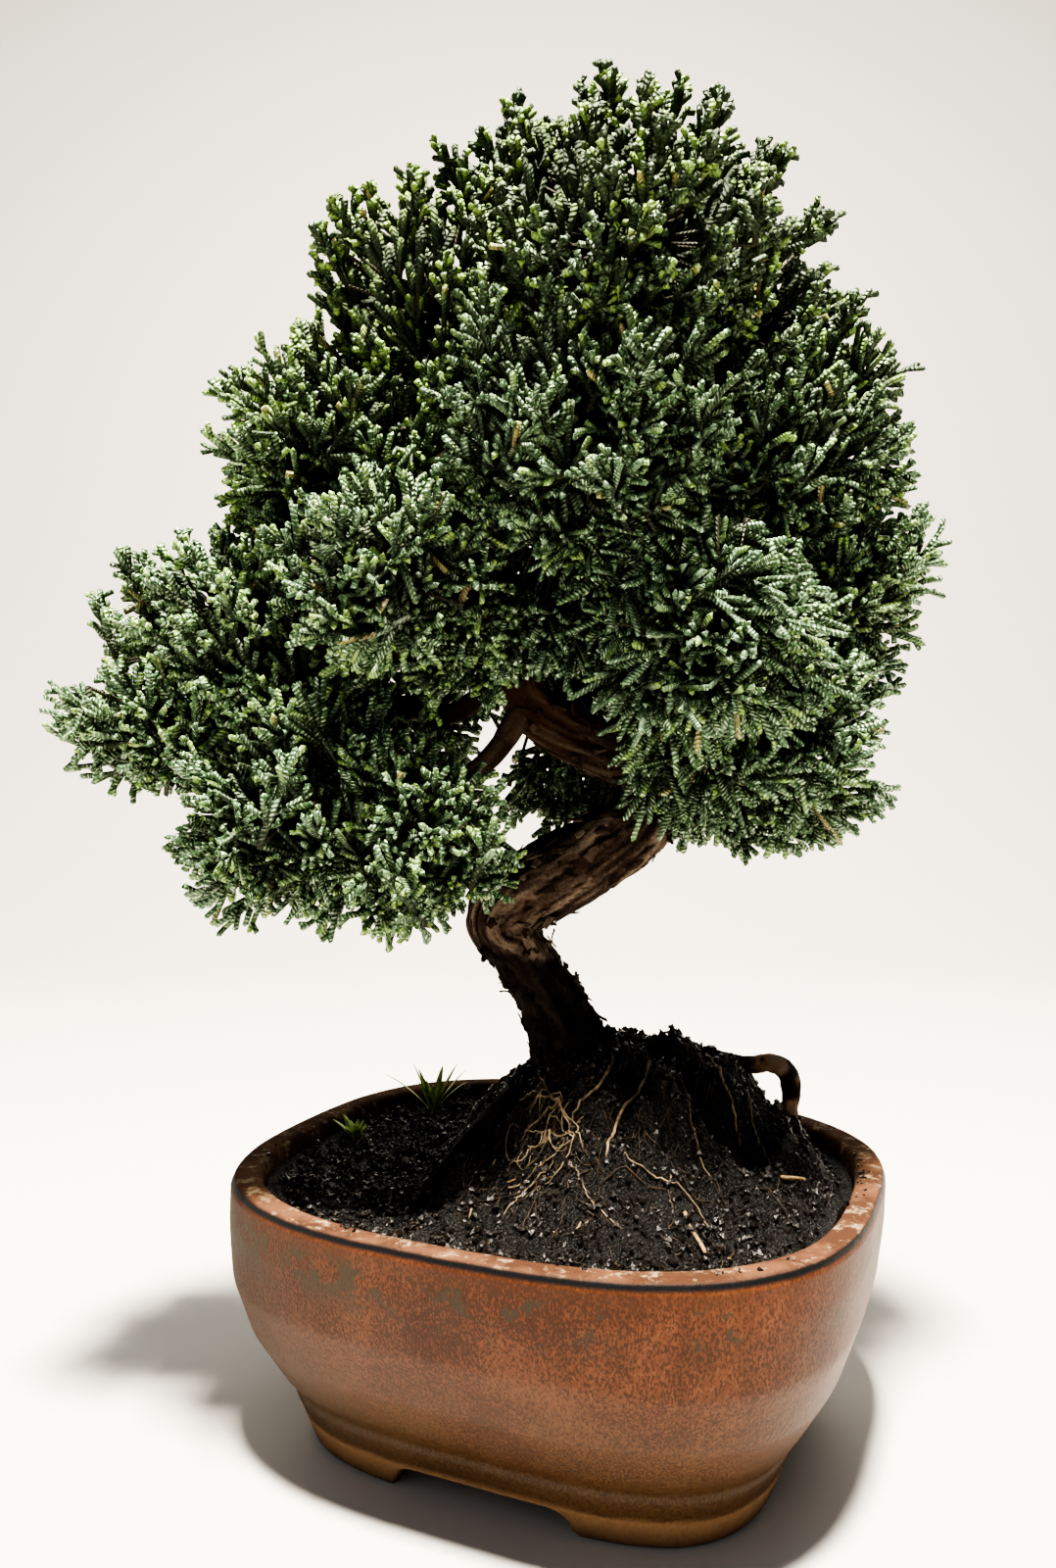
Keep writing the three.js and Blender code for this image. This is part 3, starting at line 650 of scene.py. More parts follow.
@dataclass(frozen=True)
class SpeckledGlaze:
    """Iron glaze on stoneware: specks in rust, olive low down, and bare clay on rim and feet."""

    rust: str = "#56301f"
    orange: str = "#714b33"
    umber: str = "#4a2717"
    speck: str = "#2b1a0e"
    olive: str = "#40301c"
    tan: str = "#2c2015"
    patch: str = "#342d22"
    amber: str = "#482a19"
    line: str = "#0f1214"
    rim: str = "#40291c"
    rim_worn: str = "#5c3f2c"
    lime: str = "#a08b70"
    foot: str = "#7a5f46"
    foot_dark: str = "#55402c"
    run_squash: float = 0.55
    drip_squash: float = 0.13
    foot_top: float = 0.05
    pit_depth: float = 0.5

    def build(self) -> Material:
        """The pot's material: glaze by height and noise, and bare clay on rim, inside and feet."""
        material, tree, surface = new_material("speckled_iron_glaze")
        place = add_node(tree, "ShaderNodeTexCoord").outputs["Object"]
        axes = add_node(tree, "ShaderNodeSeparateXYZ", {0: place})
        height, lengthwise = axes.outputs["Z"], axes.outputs["X"]
        bare, edge = (
            add_node(tree, "ShaderNodeAttribute", attribute_name=name).outputs["Fac"]
            for name in ("bare", "edge")
        )
        stretched = add_nodes(tree, "ShaderNodeMapping", ("Vector", "Scale"), {
            "run": (place, (1.0, 1.0, self.run_squash)),
            "drip": (place, (1.0, 1.0, self.drip_squash)),
        })
        noise = add_nodes(tree, "ShaderNodeTexNoise", NOISE_INPUTS, {
            "cloud": (place, per_metre(42), 4, 0.6),
            "blotch": (place, per_metre(9), 5, 0.65),
            "grit": (stretched["run"], per_metre(1.3), 5, 0.75),
            "fleck": (stretched["run"], per_metre(0.6), 3, 0.6),
            "streak": (stretched["drip"], per_metre(7), 3, 0.6),
            "wear": (place, per_metre(16), 4, 0.6),
            "lime": (place, per_metre(5.5), 6, 0.78),
        })
        sums = add_nodes(tree, "ShaderNodeMath", (0, 1, 2), {
            "level": (noise["cloud"], 0.05, height),
            "along": (noise["cloud"], 0.1, lengthwise),
            "fleck": (noise["cloud"], 0.45, noise["fleck"]),
            "relief": (noise["fleck"], 0.6, noise["grit"]),
        }, operation="MULTIPLY_ADD")
        masks = add_nodes(tree, "ShaderNodeMapRange", RANGE_INPUTS, {
            "near_end": (lengthwise, -0.07, 0.05, 0.13, 0.0),
            "orange": (noise["grit"], 0.4, 0.75, 0.0, 0.85),
            "umber": (noise["cloud"], 0.45, 0.62, 0.0, 0.5),
            "amber": (noise["streak"], 0.5, 0.66, 0.0, 0.45),
            "olive": (sums["level"], 0.046, 0.082, 0.9, 0.0),
            # Darker at the left end: partly the glaze's own tan, partly painted shade under the
            # left pads.
            "tan": (sums["along"], -0.03, 0.045, 0.95, 0.0),
            "speck": (sums["fleck"], 0.71, 0.75, 0.0, 0.7),
            "low": (height, 0.062, 0.072, 0.0, 1.0),
            "high": (height, 0.077, 0.081, 1.0, 0.0),
            "under_rim": (height, 0.077, 0.081, 0.0, 0.4),
            "worn": (noise["wear"], 0.44, 0.6, 0.0, 1.0),
            "limed": (noise["lime"], 0.54, 0.64, 0.0, 0.7),
            "matt": (bare, 0.0, 1.0, 0.3, 0.85),
            "dull": (lengthwise, -0.08, 0.0, 0.3, 0.0),
        })
        # Dark grey-brown blotches in a band under the rim, more of them towards the left end.
        blotched = add_node(tree, "ShaderNodeMath", {
            0: noise["blotch"], 1: masks["near_end"]}, operation="ADD").outputs[0]
        rim_band_blotches = add_node(tree, "ShaderNodeMapRange", dict(
            zip(RANGE_INPUTS, (blotched, 0.585, 0.6, 0.0, 0.85)))).outputs[0]
        rim_band_blotches = chain_nodes(
            tree, "ShaderNodeMath", FACTORS, rim_band_blotches, ((masks["low"],), (masks["high"],)),
            operation="MULTIPLY")
        footed = add_node(tree, "ShaderNodeMath", {
            0: self.foot_top, 1: height}, operation="GREATER_THAN").outputs[0]
        foot = chain_nodes(
            tree, "ShaderNodeMix", COLOUR_MIX, self.foot, ((noise["grit"], self.foot_dark),),
            data_type="RGBA")
        clay = chain_nodes(tree, "ShaderNodeMix", COLOUR_MIX, self.rim, (
            (masks["worn"], self.rim_worn), (masks["limed"], self.lime), (footed, foot),
        ), data_type="RGBA")
        colour = chain_nodes(tree, "ShaderNodeMix", COLOUR_MIX, self.rust, (
            (masks["orange"], self.orange), (masks["umber"], self.umber),
            (masks["amber"], self.amber), (masks["olive"], self.olive),
            (masks["tan"], self.tan), (masks["speck"], self.speck), (rim_band_blotches, self.patch),
            (masks["under_rim"], self.amber), (edge, self.line), (bare, clay),
        ), data_type="RGBA")
        rough = add_node(tree, "ShaderNodeMath", {
            0: noise["grit"], 1: 0.25, 2: masks["matt"]}, operation="MULTIPLY_ADD").outputs[0]
        rough = add_node(tree, "ShaderNodeMath", {
            0: rough, 1: masks["dull"]}, operation="ADD", use_clamp=True).outputs[0]
        bump = add_node(tree, "ShaderNodeBump", {
            "Strength": 0.5, "Distance": self.pit_depth * METRE, "Height": sums["relief"]})
        shader = add_node(tree, "ShaderNodeBsdfPrincipled", {
            "Base Color": colour, "Roughness": rough, "Normal": bump.outputs[0],
            "Specular IOR Level": 0.16})
        tree.links.new(shader.outputs[0], surface)
        return material


@dataclass(frozen=True)
class GrainedFinish:
    """A matt natural stuff in two colours that fine noise mixes.

    Grain and bump are millimetres. Where the noise is low the surface is smoother by the glint.
    gloss is its specular level.
    """

    name: str
    dark: str
    light: str
    grain: float
    roughness: float
    bump: float = 0.4
    glint: float = 0.0
    gloss: float = 0.3

    def build(self) -> Material:
        """Noise at the grain's size drives colour, roughness and bump."""
        material, tree, surface = new_material(self.name)
        place = add_node(tree, "ShaderNodeTexCoord").outputs["Object"]
        noise = add_node(tree, "ShaderNodeTexNoise", dict(
            zip(NOISE_INPUTS, (place, per_metre(self.grain), 4.0, 0.65)))).outputs["Fac"]
        colour = add_node(tree, "ShaderNodeValToRGB", {0: noise}, stops=[
            (0.35, self.dark), (0.7, self.light)])
        bump = add_node(tree, "ShaderNodeBump", {
            "Strength": 0.8, "Distance": self.bump * METRE, "Height": noise})
        rough = add_node(tree, "ShaderNodeMapRange", dict(
            zip(RANGE_INPUTS, (noise, 0.3, 0.75, self.roughness - self.glint, self.roughness))))
        shader = add_node(tree, "ShaderNodeBsdfPrincipled", {
            "Base Color": colour.outputs[0], "Roughness": rough.outputs[0],
            "Normal": bump.outputs[0], "Specular IOR Level": self.gloss})
        tree.links.new(shader.outputs[0], surface)
        return material


# Soaked peat: nearly black, with a dull shine on the sides that catch the light.
WET_PEAT = GrainedFinish(
    "wet_peat", "#030202", "#110e0b", grain=0.8, roughness=0.4, bump=1.2, glint=0.25, gloss=0.24)
# Loose crumbs of it: a little drier and browner, with a glint here and there.
PEAT_CRUMB = GrainedFinish(
    "wet_peat_crumb", "#050403", "#28211b", grain=1.1, roughness=0.28, bump=0.6, glint=0.14,
    gloss=0.48)
# Washed rootlets: tan with brown lengths, so they stand out on the black soil.
TAN_ROOTLET = GrainedFinish("tan_rootlet", "#33291e", "#978466", grain=3.2, roughness=0.75)
# Hair roots: brown threads that hardly leave the soil's own dark.
ROOT_FIBRE = GrainedFinish("dark_root_fibre", "#0d0906", "#4f3c29", grain=4.0, roughness=0.75)
# Dry straw: dull yellow-brown stalks.
DRY_STRAW = GrainedFinish("dry_straw_stalk", "#5b462c", "#a48c63", grain=1.2, roughness=0.75)
# Weed leaves: fresh light green, the only bright green on the soil.
WEED_BLADE = GrainedFinish("weed_blade", "#6d8a35", "#b3c465", grain=3.0, roughness=0.5)
# Moulded netting of the drain screens: plain dark green plastic.
NETTING = GrainedFinish("moulded_netting", "#1c201e", "#2c322f", grain=0.6, roughness=0.6, bump=0.1)
# Twigs in the middle of the pads: close to black as painted shade, and quite without shine.
SHADE_DARK_TWIGS = GrainedFinish(
    "shade_dark_inner_twigs", "#040503", "#12140b", grain=2.0, roughness=1.0, bump=1.0, gloss=0.0)


# Surface roots as rows of x, y, z and radius. The first arches clear of the soil.
ROOT_PATHS = (
    ((10, 5, 108, 8), (20, 6, 117, 7), (37, 7, 118.5, 5.4), (50, 8, 116, 4.2), (60, 7, 115, 3.4),
     (66.5, 5, 114.4, 3.1), (71.8, 3, 115.6, 3.5), (76, 0, 114.4, 3.8), (78.2, -2, 109.8, 3.6),
     (77.8, -3, 103.8, 3), (77.5, -3, 97, 2.6), (75, -3, 87, 2)),
    ((4, 0, 106, 8), (-14, -8, 106, 6), (-28, -17, 96.5, 4.4), (-40, -26, 86, 3),
     (-47, -31, 77, 2)),
    ((8, 0, 106, 8), (14, -16, 112.5, 4.6), (12, -32, 103, 3.4), (6, -46, 91.5, 2.6),
     (2, -54, 82, 2)),
    ((14, 2, 108, 8), (32, -9, 113, 4.6), (44, -22, 104, 3.4), (54, -34, 93, 2.6),
     (58, -40, 82, 2)),
    ((4, 10, 106, 8), (-10, 22, 106, 5.4), (-24, 34, 94, 3.8), (-34, 42, 79, 2.4)),
    ((14, 12, 108, 8), (30, 26, 108, 5), (44, 38, 96, 3.6), (54, 46, 80, 2.4)),
)


@dataclass(frozen=True)
class Pot:
    """Rounded rectangular pot with a flat rim, a plinth band and four corner feet.

    outer and inner are the wall's two sides, as rows of inset from the rim line and height. The
    glaze ends at glaze_foot over the table, and in a dark line that is line_drop under the rim.
    """

    half_length: float = 105.0
    half_width: float = 92.0
    height: float = 85.0
    rim_exponent: float = 2.75
    foot_exponent: float = 3.6
    rim_width: float = 8.5
    underside: float = 11.0
    foot_thickness: float = 10.0
    arch_height: float = 8.5
    arch_corner: float = 7.0
    long_arch: float = 29.0
    short_arch: float = 21.0
    drain_radius: float = 7.0
    drain_offset: float = 42.0
    sides: int = 236
    step: float = 1.8
    outer: tuple = (
        (28.5, 0), (24.7, 10), (21.6, 17), (22.2, 18.6), (17.5, 24), (9, 38), (2.8, 55), (0.5, 72),
        (0, 82), (1, 85),
    )
    inner: tuple = ((9.6, 82), (10.5, 60), (15.5, 40), (25, 26), (36, 19.5))
    waver: float = 0.7
    waver_size: float = 22.0
    pit_depth: float = 0.22
    pit_size: float = 2.2
    glaze_foot: float = 10.6
    line_drop: float = 1.05

    def rings(self, inset: Array, height: Array, sides: int) -> Array:
        """Superellipse rings: 1 / radius^n = (cos / a)^n + (sin / b)^n, squarer towards the foot.

        Args:
            inset: how far each ring lies in from the rim line.
            height: each ring's height.
            sides: points on a ring.

        Returns:
            Points shaped (rings, sides, 3), along the pot's sides.
        """
        inset, height = (np.asarray(values, dtype=float)[:, None] for values in (inset, height))
        share = height / self.height
        exponent = self.foot_exponent * (1 - share) + self.rim_exponent * share
        angle = np.linspace(0, 2 * np.pi, sides, endpoint=False)[None]
        across = np.abs(np.cos(angle) / (self.half_length - inset)) ** exponent
        along = np.abs(np.sin(angle) / (self.half_width - inset)) ** exponent
        radius = (across + along) ** (-1 / exponent)
        level = height + 0 * radius
        return np.stack([radius * np.cos(angle), radius * np.sin(angle), level], axis=-1)

    def holds(self, points: Array, inset: float) -> Array:
        """Whether points along the pot's sides lie within the rim line by at least an inset.

        Args:
            points: places with x and y first.
            inset: least distance to the rim line.

        Returns:
            True for each point that does.
        """
        power = self.rim_exponent
        across = np.abs(points[..., 0] / (self.half_length - inset)) ** power
        along = np.abs(points[..., 1] / (self.half_width - inset)) ** power
        return across + along < 1

    def profile(self) -> Array:
        """Wall section from the underside round the foot, over the rim and down to the floor.

        The steps are finer at the rim's edge, and each corner is eased by its neighbours.
        """
        foot = self.outer[0][0] + self.foot_thickness
        start = ((foot, self.underside), (foot, 0))
        corners = np.array([*start, *self.outer, (self.rim_width, self.height), *self.inner])
        stretch = np.linalg.norm(np.diff(corners, axis=0), axis=1)
        run = np.concatenate([[0], np.cumsum(stretch)])
        even = np.linspace(0, run[-1], int(run[-1] / self.step))
        edge = run[len(start) + len(self.outer) - 1]
        even = np.union1d(even, np.linspace(edge - 5, edge + 3, 17))
        places = np.union1d(even, run)
        section = np.stack([np.interp(places, run, corners[:, axis]) for axis in (0, 1)], axis=1)
        for _ in range(2):
            section[1:-1] = (section[:-2] + 2 * section[1:-1] + section[2:]) / 4
        return section

    def arch(self, points: Array) -> Array:
        """Height that the tunnels between the feet reach, with a quarter ellipse at each end.

        Args:
            points: places along the pot's sides.

        Returns:
            One height for each point.
        """
        rises = []
        for axis, half in enumerate((self.long_arch, self.short_arch)):
            past = (np.abs(points[..., axis]) - (half - self.arch_corner)) / self.arch_corner
            rises.append(self.arch_height * np.sqrt(1 - np.clip(past, 0, 1) ** 2))
        return np.maximum(*rises)

    def build(self, glaze: Material) -> None:
        """The fired pot as one closed skin, with its two drain holes cut through the floor.

        Args:
            glaze: its finish.
        """
        section = self.profile()
        rings = self.rings(section[:, 0], section[:, 1], self.sides)
        order = np.arange(len(section))[:, None]
        inset, height = section[:, :1], section[:, 1:]
        on_foot = (order > 0) & (height < self.arch_height + 1) & (inset > 20)
        lifted = np.maximum(rings[..., 2], self.arch(rings))
        rings[..., 2] = np.where(on_foot, lifted, rings[..., 2])
        outward = unit(rings * (1, 1, 0))
        waver = self.waver * (layered_noise(rings, self.waver_size, 2, 3) - 0.5)
        pits = self.pit_depth * (layered_noise(rings, self.pit_size, 2, 9) - 0.5)
        rings = rings + outward * (waver + pits)[..., None]
        points, faces = capped_rings(rings)
        piece = make_piece("glazed_pot", pot_to_row(points), faces)
        inside = order > np.argmax(height)
        ragged = 1.2 * (layered_noise(rings, 5, 3, 4) - 0.5)
        bare_foot = smoothstep(self.glaze_foot + ragged - height, 0, 1.2)
        bare_rim = smoothstep(height + 0.2 * ragged, self.height - 0.7, self.height - 0.3)
        under_rim = np.exp(-(height - self.height + self.line_drop - 0.4 * ragged) ** 4)
        line = np.where(inside & (inset > 2), 0, under_rim * smoothstep(inset, 3.2, 1.8))
        bare = np.where(inside, 1.0, np.maximum(bare_foot, bare_rim)) * (1 - line)
        set_attribute(piece, "bare", np.concatenate([bare.ravel(), [1.0, 1.0]]))
        set_attribute(piece, "edge", np.concatenate([line.ravel(), [0.0, 0.0]]))
        self.drill(piece)
        finish_piece(piece, glaze, "glazed_stoneware", "pot")

    def drill(self, piece: Object) -> None:
        """Cuts the drain holes by a boolean that is applied at once.

        Args:
            piece: the pot.
        """
        for side in (-1, 1):
            path = np.array([[side * self.drain_offset, 0, z] for z in (4.0, 12.0, 27.0)])
            points, faces = tube(path, np.full(3, self.drain_radius), 32)
            drill = make_piece("drill", pot_to_row(points), faces)
            cut = piece.modifiers.new("drain", "BOOLEAN")
            cut.object = drill
            cut.solver = "EXACT"
            bpy.context.view_layer.objects.active = piece
            bpy.ops.object.modifier_apply(modifier=cut.name)
            bpy.data.objects.remove(drill)


@dataclass(frozen=True)
class Soil:
    """Wet black potting soil that rises to the mound round the roots.

    The mound reaches out by another length to each side, and drops away past the shoulder.
    """

    pot: Pot
    edge: float = 79.0
    mound_height: float = 43.0
    mound_x: float = 18.0
    mound_y: float = 2.0
    plateau: float = 0.2
    reach_left: float = 66.0
    reach_right: float = 98.0
    reach_front: float = 80.0
    reach_back: float = 66.0
    shoulder: float = 79.0
    shoulder_width: float = 13.0
    trunk_foot: tuple[float, float] = (10.0, 4.0)
    swell_size: float = 17.0
    clod_size: float = 8.0
    crumb_size: float = 3.1
    grain_size: float = 1.7
    wall_gap: float = 0.7
    sides: int = 380
    top_rings: int = 115
    crumbs: int = 6200
    litter_inset: float = 14.0
    rim_crumbs: int = 56
    rim_heaps: int = 16
    arch_free_from: float = 60.0

    def height(self, x: Array, y: Array) -> Array:
        """Height of the soil in the front frame: a mound that falls as an S-curve to the rim.

        Args:
            x: places to the right.
            y: places to the back.

        Returns:
            Millimetres over the table.
        """
        dx, dy = x - self.mound_x, y - self.mound_y
        across = np.where(dx < 0, self.reach_left, self.reach_right)
        along = np.where(dy < 0, self.reach_front, self.reach_back)
        mound = 1 - smoothstep(np.hypot(dx / across, dy / along), self.plateau, 1)
        drop = 1 - smoothstep(x, self.shoulder, self.shoulder + self.shoulder_width)
        return self.edge + self.mound_height * mound * drop

    def ridges(self, x: Array, y: Array) -> Array:
        """Height of the soil on the surface roots, which falls with the distance squared.

        Args:
            x: places to the right.
            y: places to the back.

        Returns:
            Millimetres, or less than 0 away from roots.
        """
        top = np.full(x.shape, -100.0)
        for points in ROOT_PATHS:
            line = spline(np.array(points, dtype=float), 44)
            for px, py, pz, radius in line[line[:, 0] < self.arch_free_from]:
                away = (x - px) ** 2 + (y - py) ** 2
                top = np.maximum(top, pz + 0.1 * radius - away / (2.4 * radius + 5))
        return top

    def surface(self, x: Array, y: Array) -> Array:
        """The soil's height with its ridges, gullies, clods and crumbs, in millimetres.

        Args:
            x: places to the right.
            y: places to the back.

        Returns:
            One height for each place.
        """
        flat = np.stack([x, y, 0 * x], axis=-1)
        base = self.height(x, y)
        mound = smoothstep(base, 82, 100)
        foot_x, foot_y = x - self.trunk_foot[0], y - self.trunk_foot[1]
        turn = np.arctan2(foot_y, foot_x)
        spoke = np.stack(
            [6 * np.cos(turn), 6 * np.sin(turn), 0.02 * np.hypot(foot_x, foot_y)], axis=-1)
        gullies = 2 * np.abs(layered_noise(spoke, 1.6, 2, 35) - 0.5)
        swell = layered_noise(flat, self.swell_size, 2, 33) - 0.5
        clods = layered_noise(flat, self.clod_size, 3, 31) - 0.5
        crumbs = 0
        for size, seed, tall, seam_width in (
            (self.crumb_size, 39, 3.4, 0.5), (self.grain_size, 49, 1.9, 0.4)
        ):
            seam, own = cell_plates(x / size, y / size, 4096, seed)
            crumbs = crumbs + tall * (own - 0.4) * smoothstep(seam, 0, seam_width)
        rough = (6 + 9 * mound) * clods + (3 + 5 * mound) * swell - 12 * mound * (gullies - 0.25)
        clinging = self.ridges(x, y) + 5 * (clods - 0.15)
        return np.maximum(base + rough - 1.5 * mound, clinging) + crumbs

    def build(self, finish: Material) -> None:
        """The filled body of soil, closed against the pot's wall and floor, without the crumbs.

        Args:
            finish: the peat.
        """
        inner = reversed(self.pot.inner)
        wall = np.array([(inset + self.wall_gap, z + 0.45) for inset, z in inner])
        wall[-1, 1] = self.edge
        low = self.pot.rings(wall[:, 0], wall[:, 1], self.sides)
        share = 1 - np.linspace(0, 1, self.top_rings + 1)[1:-1] ** 0.9
        top = low[-1][None] * np.array([1, 1, 0]) * share[:, None, None]
        seen = pot_to_front(top)
        settle = smoothstep(share, 1.0, 0.93)[:, None]
        plain = self.height(seen[..., 0], seen[..., 1])
        top[..., 2] = plain * (1 - settle) + self.surface(seen[..., 0], seen[..., 1]) * settle
        points, faces = capped_rings(np.concatenate([low, top]))
        piece = make_piece("potting_soil_bed", pot_to_row(points), faces, smooth=False)
        finish_piece(piece, finish, "potting_soil", "soil")

    def places(self, count: int, random: Generator) -> Array:
        """Random places on the soil inside the rim, in the front frame, as x and y.

        Args:
            count: most places to give.
            random: seeded source.

        Returns:
            Rows of x and y.
        """
        spot = random.uniform(-1, 1, (3 * count, 2)) * (self.pot.half_length, self.pot.half_width)
        spot = spot[self.pot.holds(spot, self.litter_inset)][:count]
        return pot_to_front(np.pad(spot, ((0, 0), (0, 1))))[:, :2]

    def rim_places(self, random: Generator) -> Array:
        """Places of the crumbs on the rim, in heaps that share a turn and an inset.

        Args:
            random: seeded source.

        Returns:
            Points in the front frame.
        """
        count = self.rim_crumbs
        heap = random.normal(0.1, 0.6, self.rim_heaps)
        heap = heap - (random.random(self.rim_heaps) < 0.4) * 1.9
        kind = random.integers(0, self.rim_heaps, count)
        turn = np.mod(heap[kind] + random.normal(0, 0.05, count), 2 * np.pi)
        inset = random.uniform(5.5, 8.5, self.rim_heaps)[kind] + random.normal(0, 0.9, count)
        line = self.pot.rings(np.array([0.0]), np.array([self.pot.height]), 720)[0]
        brim = line[(turn / (2 * np.pi) * len(line)).astype(int)]
        brim = brim - unit(brim * (1, 1, 0)) * inset.clip(2.5, 8.6)[:, None]
        return pot_to_front(brim) + (0, 0, 0.1)

    def build_crumbs(self, finish: Material) -> None:
        """Angular wet crumbs, each an octahedron with its corners pushed in or out at random.

        Args:
            finish: the crumbs' own.
        """
        random = np.random.default_rng(5)
        spot = self.places(self.crumbs, random)
        count = len(spot) + self.rim_crumbs
        size = np.minimum(random.gamma(2.0, 0.27, (count, 1, 1)) + 0.4, 1.5)
        high = self.rim_places(random)
        lying = self.surface(spot[:, 0], spot[:, 1]) + 0.35 * size[:len(spot), 0, 0]
        size[len(spot):] *= 0.7
        centre = np.concatenate([np.column_stack([spot, lying]), high])
        around = ((1, 0, 0), (0, 1, 0), (-1, 0, 0), (0, -1, 0))
        corners = np.array([*around, (0, 0, 1), (0, 0, -1)], dtype=float)
        shape = corners * random.uniform(0.5, 1.2, (count, 6, 1)) * size
        spin = random_turns(random, count)
        points = np.einsum("nij,nkj->nki", spin, shape) + centre[:, None]
        single = np.array([
            *([side, (side + 1) % 4, 4, -1] for side in range(4)),
            *([(side + 1) % 4, side, 5, -1] for side in range(4)),
        ])
        skin = points.reshape(-1, 3), repeated(single, count, 6)
        front_piece("loose_soil_crumbs", [skin], finish, "potting_soil", smooth=False)


def random_turns(random: Generator, count: int) -> Array:
    """Rotation matrices spread evenly over all turns, from random unit quaternions.

    Args:
        random: seeded source.
        count: how many.

    Returns:
        Matrices shaped (count, 3, 3).
    """
    w, x, y, z = unit(random.normal(size=(count, 4))).T
    return np.array([
        [1 - 2 * (y * y + z * z), 2 * (x * y - z * w), 2 * (x * z + y * w)],
        [2 * (x * y + z * w), 1 - 2 * (x * x + z * z), 2 * (y * z - x * w)],
        [2 * (x * z - y * w), 2 * (y * z + x * w), 1 - 2 * (x * x + y * y)],
    ]).transpose(2, 0, 1)


class Habit(Enum):
    """How the sprays of a pad are carried."""

    UPRIGHT = "upright"
    SPREADING = "spreading"
    HANGING = "hanging"


@dataclass(frozen=True)
class Pad:
    """One head of sprays: its middle and its half size out to the tips, in the front frame.

    Its limb forks off the trunk at a height or off another pad's limb, and may pass through a bend.
    young is its share of fresh tips, and fullness thins out the heads at the back.
    """

    name: str
    centre: tuple[float, float, float]
    reach: tuple[float, float, float]
    fork: float | str
    young: float
    habit: Habit = Habit.SPREADING
    bend: tuple[float, float, float] | None = None
    fullness: float = 1.0

    @property
    def size(self) -> float:
        """Cube root of the product of the half sizes."""
        return float(np.prod(self.reach) ** (1 / 3))


PADS = (
    Pad("crown", (19, 0, 403), (60, 50, 47), 380, 0.5, Habit.UPRIGHT),
    Pad("top_left", (-42, 0, 372), (54, 50, 50), 350, 0.75, Habit.UPRIGHT),
    Pad("top_right", (58, 4, 370), (48, 50, 50), 345, 0.4, Habit.UPRIGHT),
    Pad("top_front", (20, -40, 378), (50, 42, 44), 338, 0.4, Habit.UPRIGHT),
    Pad("top_back", (16, 42, 378), (52, 44, 46), 332, 0.5, Habit.UPRIGHT, fullness=0.78),
    Pad("left_middle", (-76, -6, 326), (46, 46, 42), 300, 0.6),
    Pad("right_middle", (78, -2, 324), (47, 48, 44), 294, 0.3),
    Pad("front_middle", (6, -47, 322), (52, 37, 50), 284, 0.2),
    Pad("back_left", (-46, 50, 318), (50, 46, 46), 278, 0.4, fullness=0.78),
    Pad("back_right", (54, 52, 312), (52, 46, 48), 272, 0.3, fullness=0.78),
    Pad("left_inner", (-58, -42, 276), (40, 36, 36), 264, 0.4),
    Pad("left_branch", (-108, -4, 262), (50, 46, 41), 256, 0.5, Habit.UPRIGHT, (-50, 0, 262)),
    Pad("left_tip", (-134, -8, 233), (37, 38, 27), "left_branch", 0.5),
    Pad("left_hanging", (-85, -22, 205), (46, 44, 44), 241, 0.35, bend=(-30, -6, 216)),
    Pad("left_front", (-50, -34, 196), (38, 36, 38), "left_hanging", 0.45),
    Pad("left_back", (-72, 42, 238), (46, 40, 42), 251, 0.4, fullness=0.78),
    Pad("right_lower", (72, -6, 228), (46, 44, 44), 209, 0.25, bend=(52, -6, 214)),
    Pad("right_front", (46, -46, 254), (40, 36, 42), 268, 0.25, Habit.HANGING),
    Pad("right_tip", (96, 6, 282), (38, 40, 36), "right_middle", 0.3),
    Pad("back_low", (0, 58, 268), (46, 38, 38), 234, 0.3, fullness=0.78),
    Pad("back_right_low", (62, 44, 234), (44, 38, 40), 221, 0.3, Habit.HANGING, fullness=0.78),
)


@dataclass(frozen=True)
class BarkGrid:
    """How finely a tube of bark is cut, how far the bark stands out, and its pattern's seed."""

    rows: int
    sides: int
    depth: float
    seed: int


TRUNK_BARK = BarkGrid(rows=430, sides=84, depth=1.9, seed=41)
LIMB_BARK = BarkGrid(rows=22, sides=10, depth=0.9, seed=60)
ROOT_BARK = BarkGrid(rows=70, sides=18, depth=1.1, seed=90)


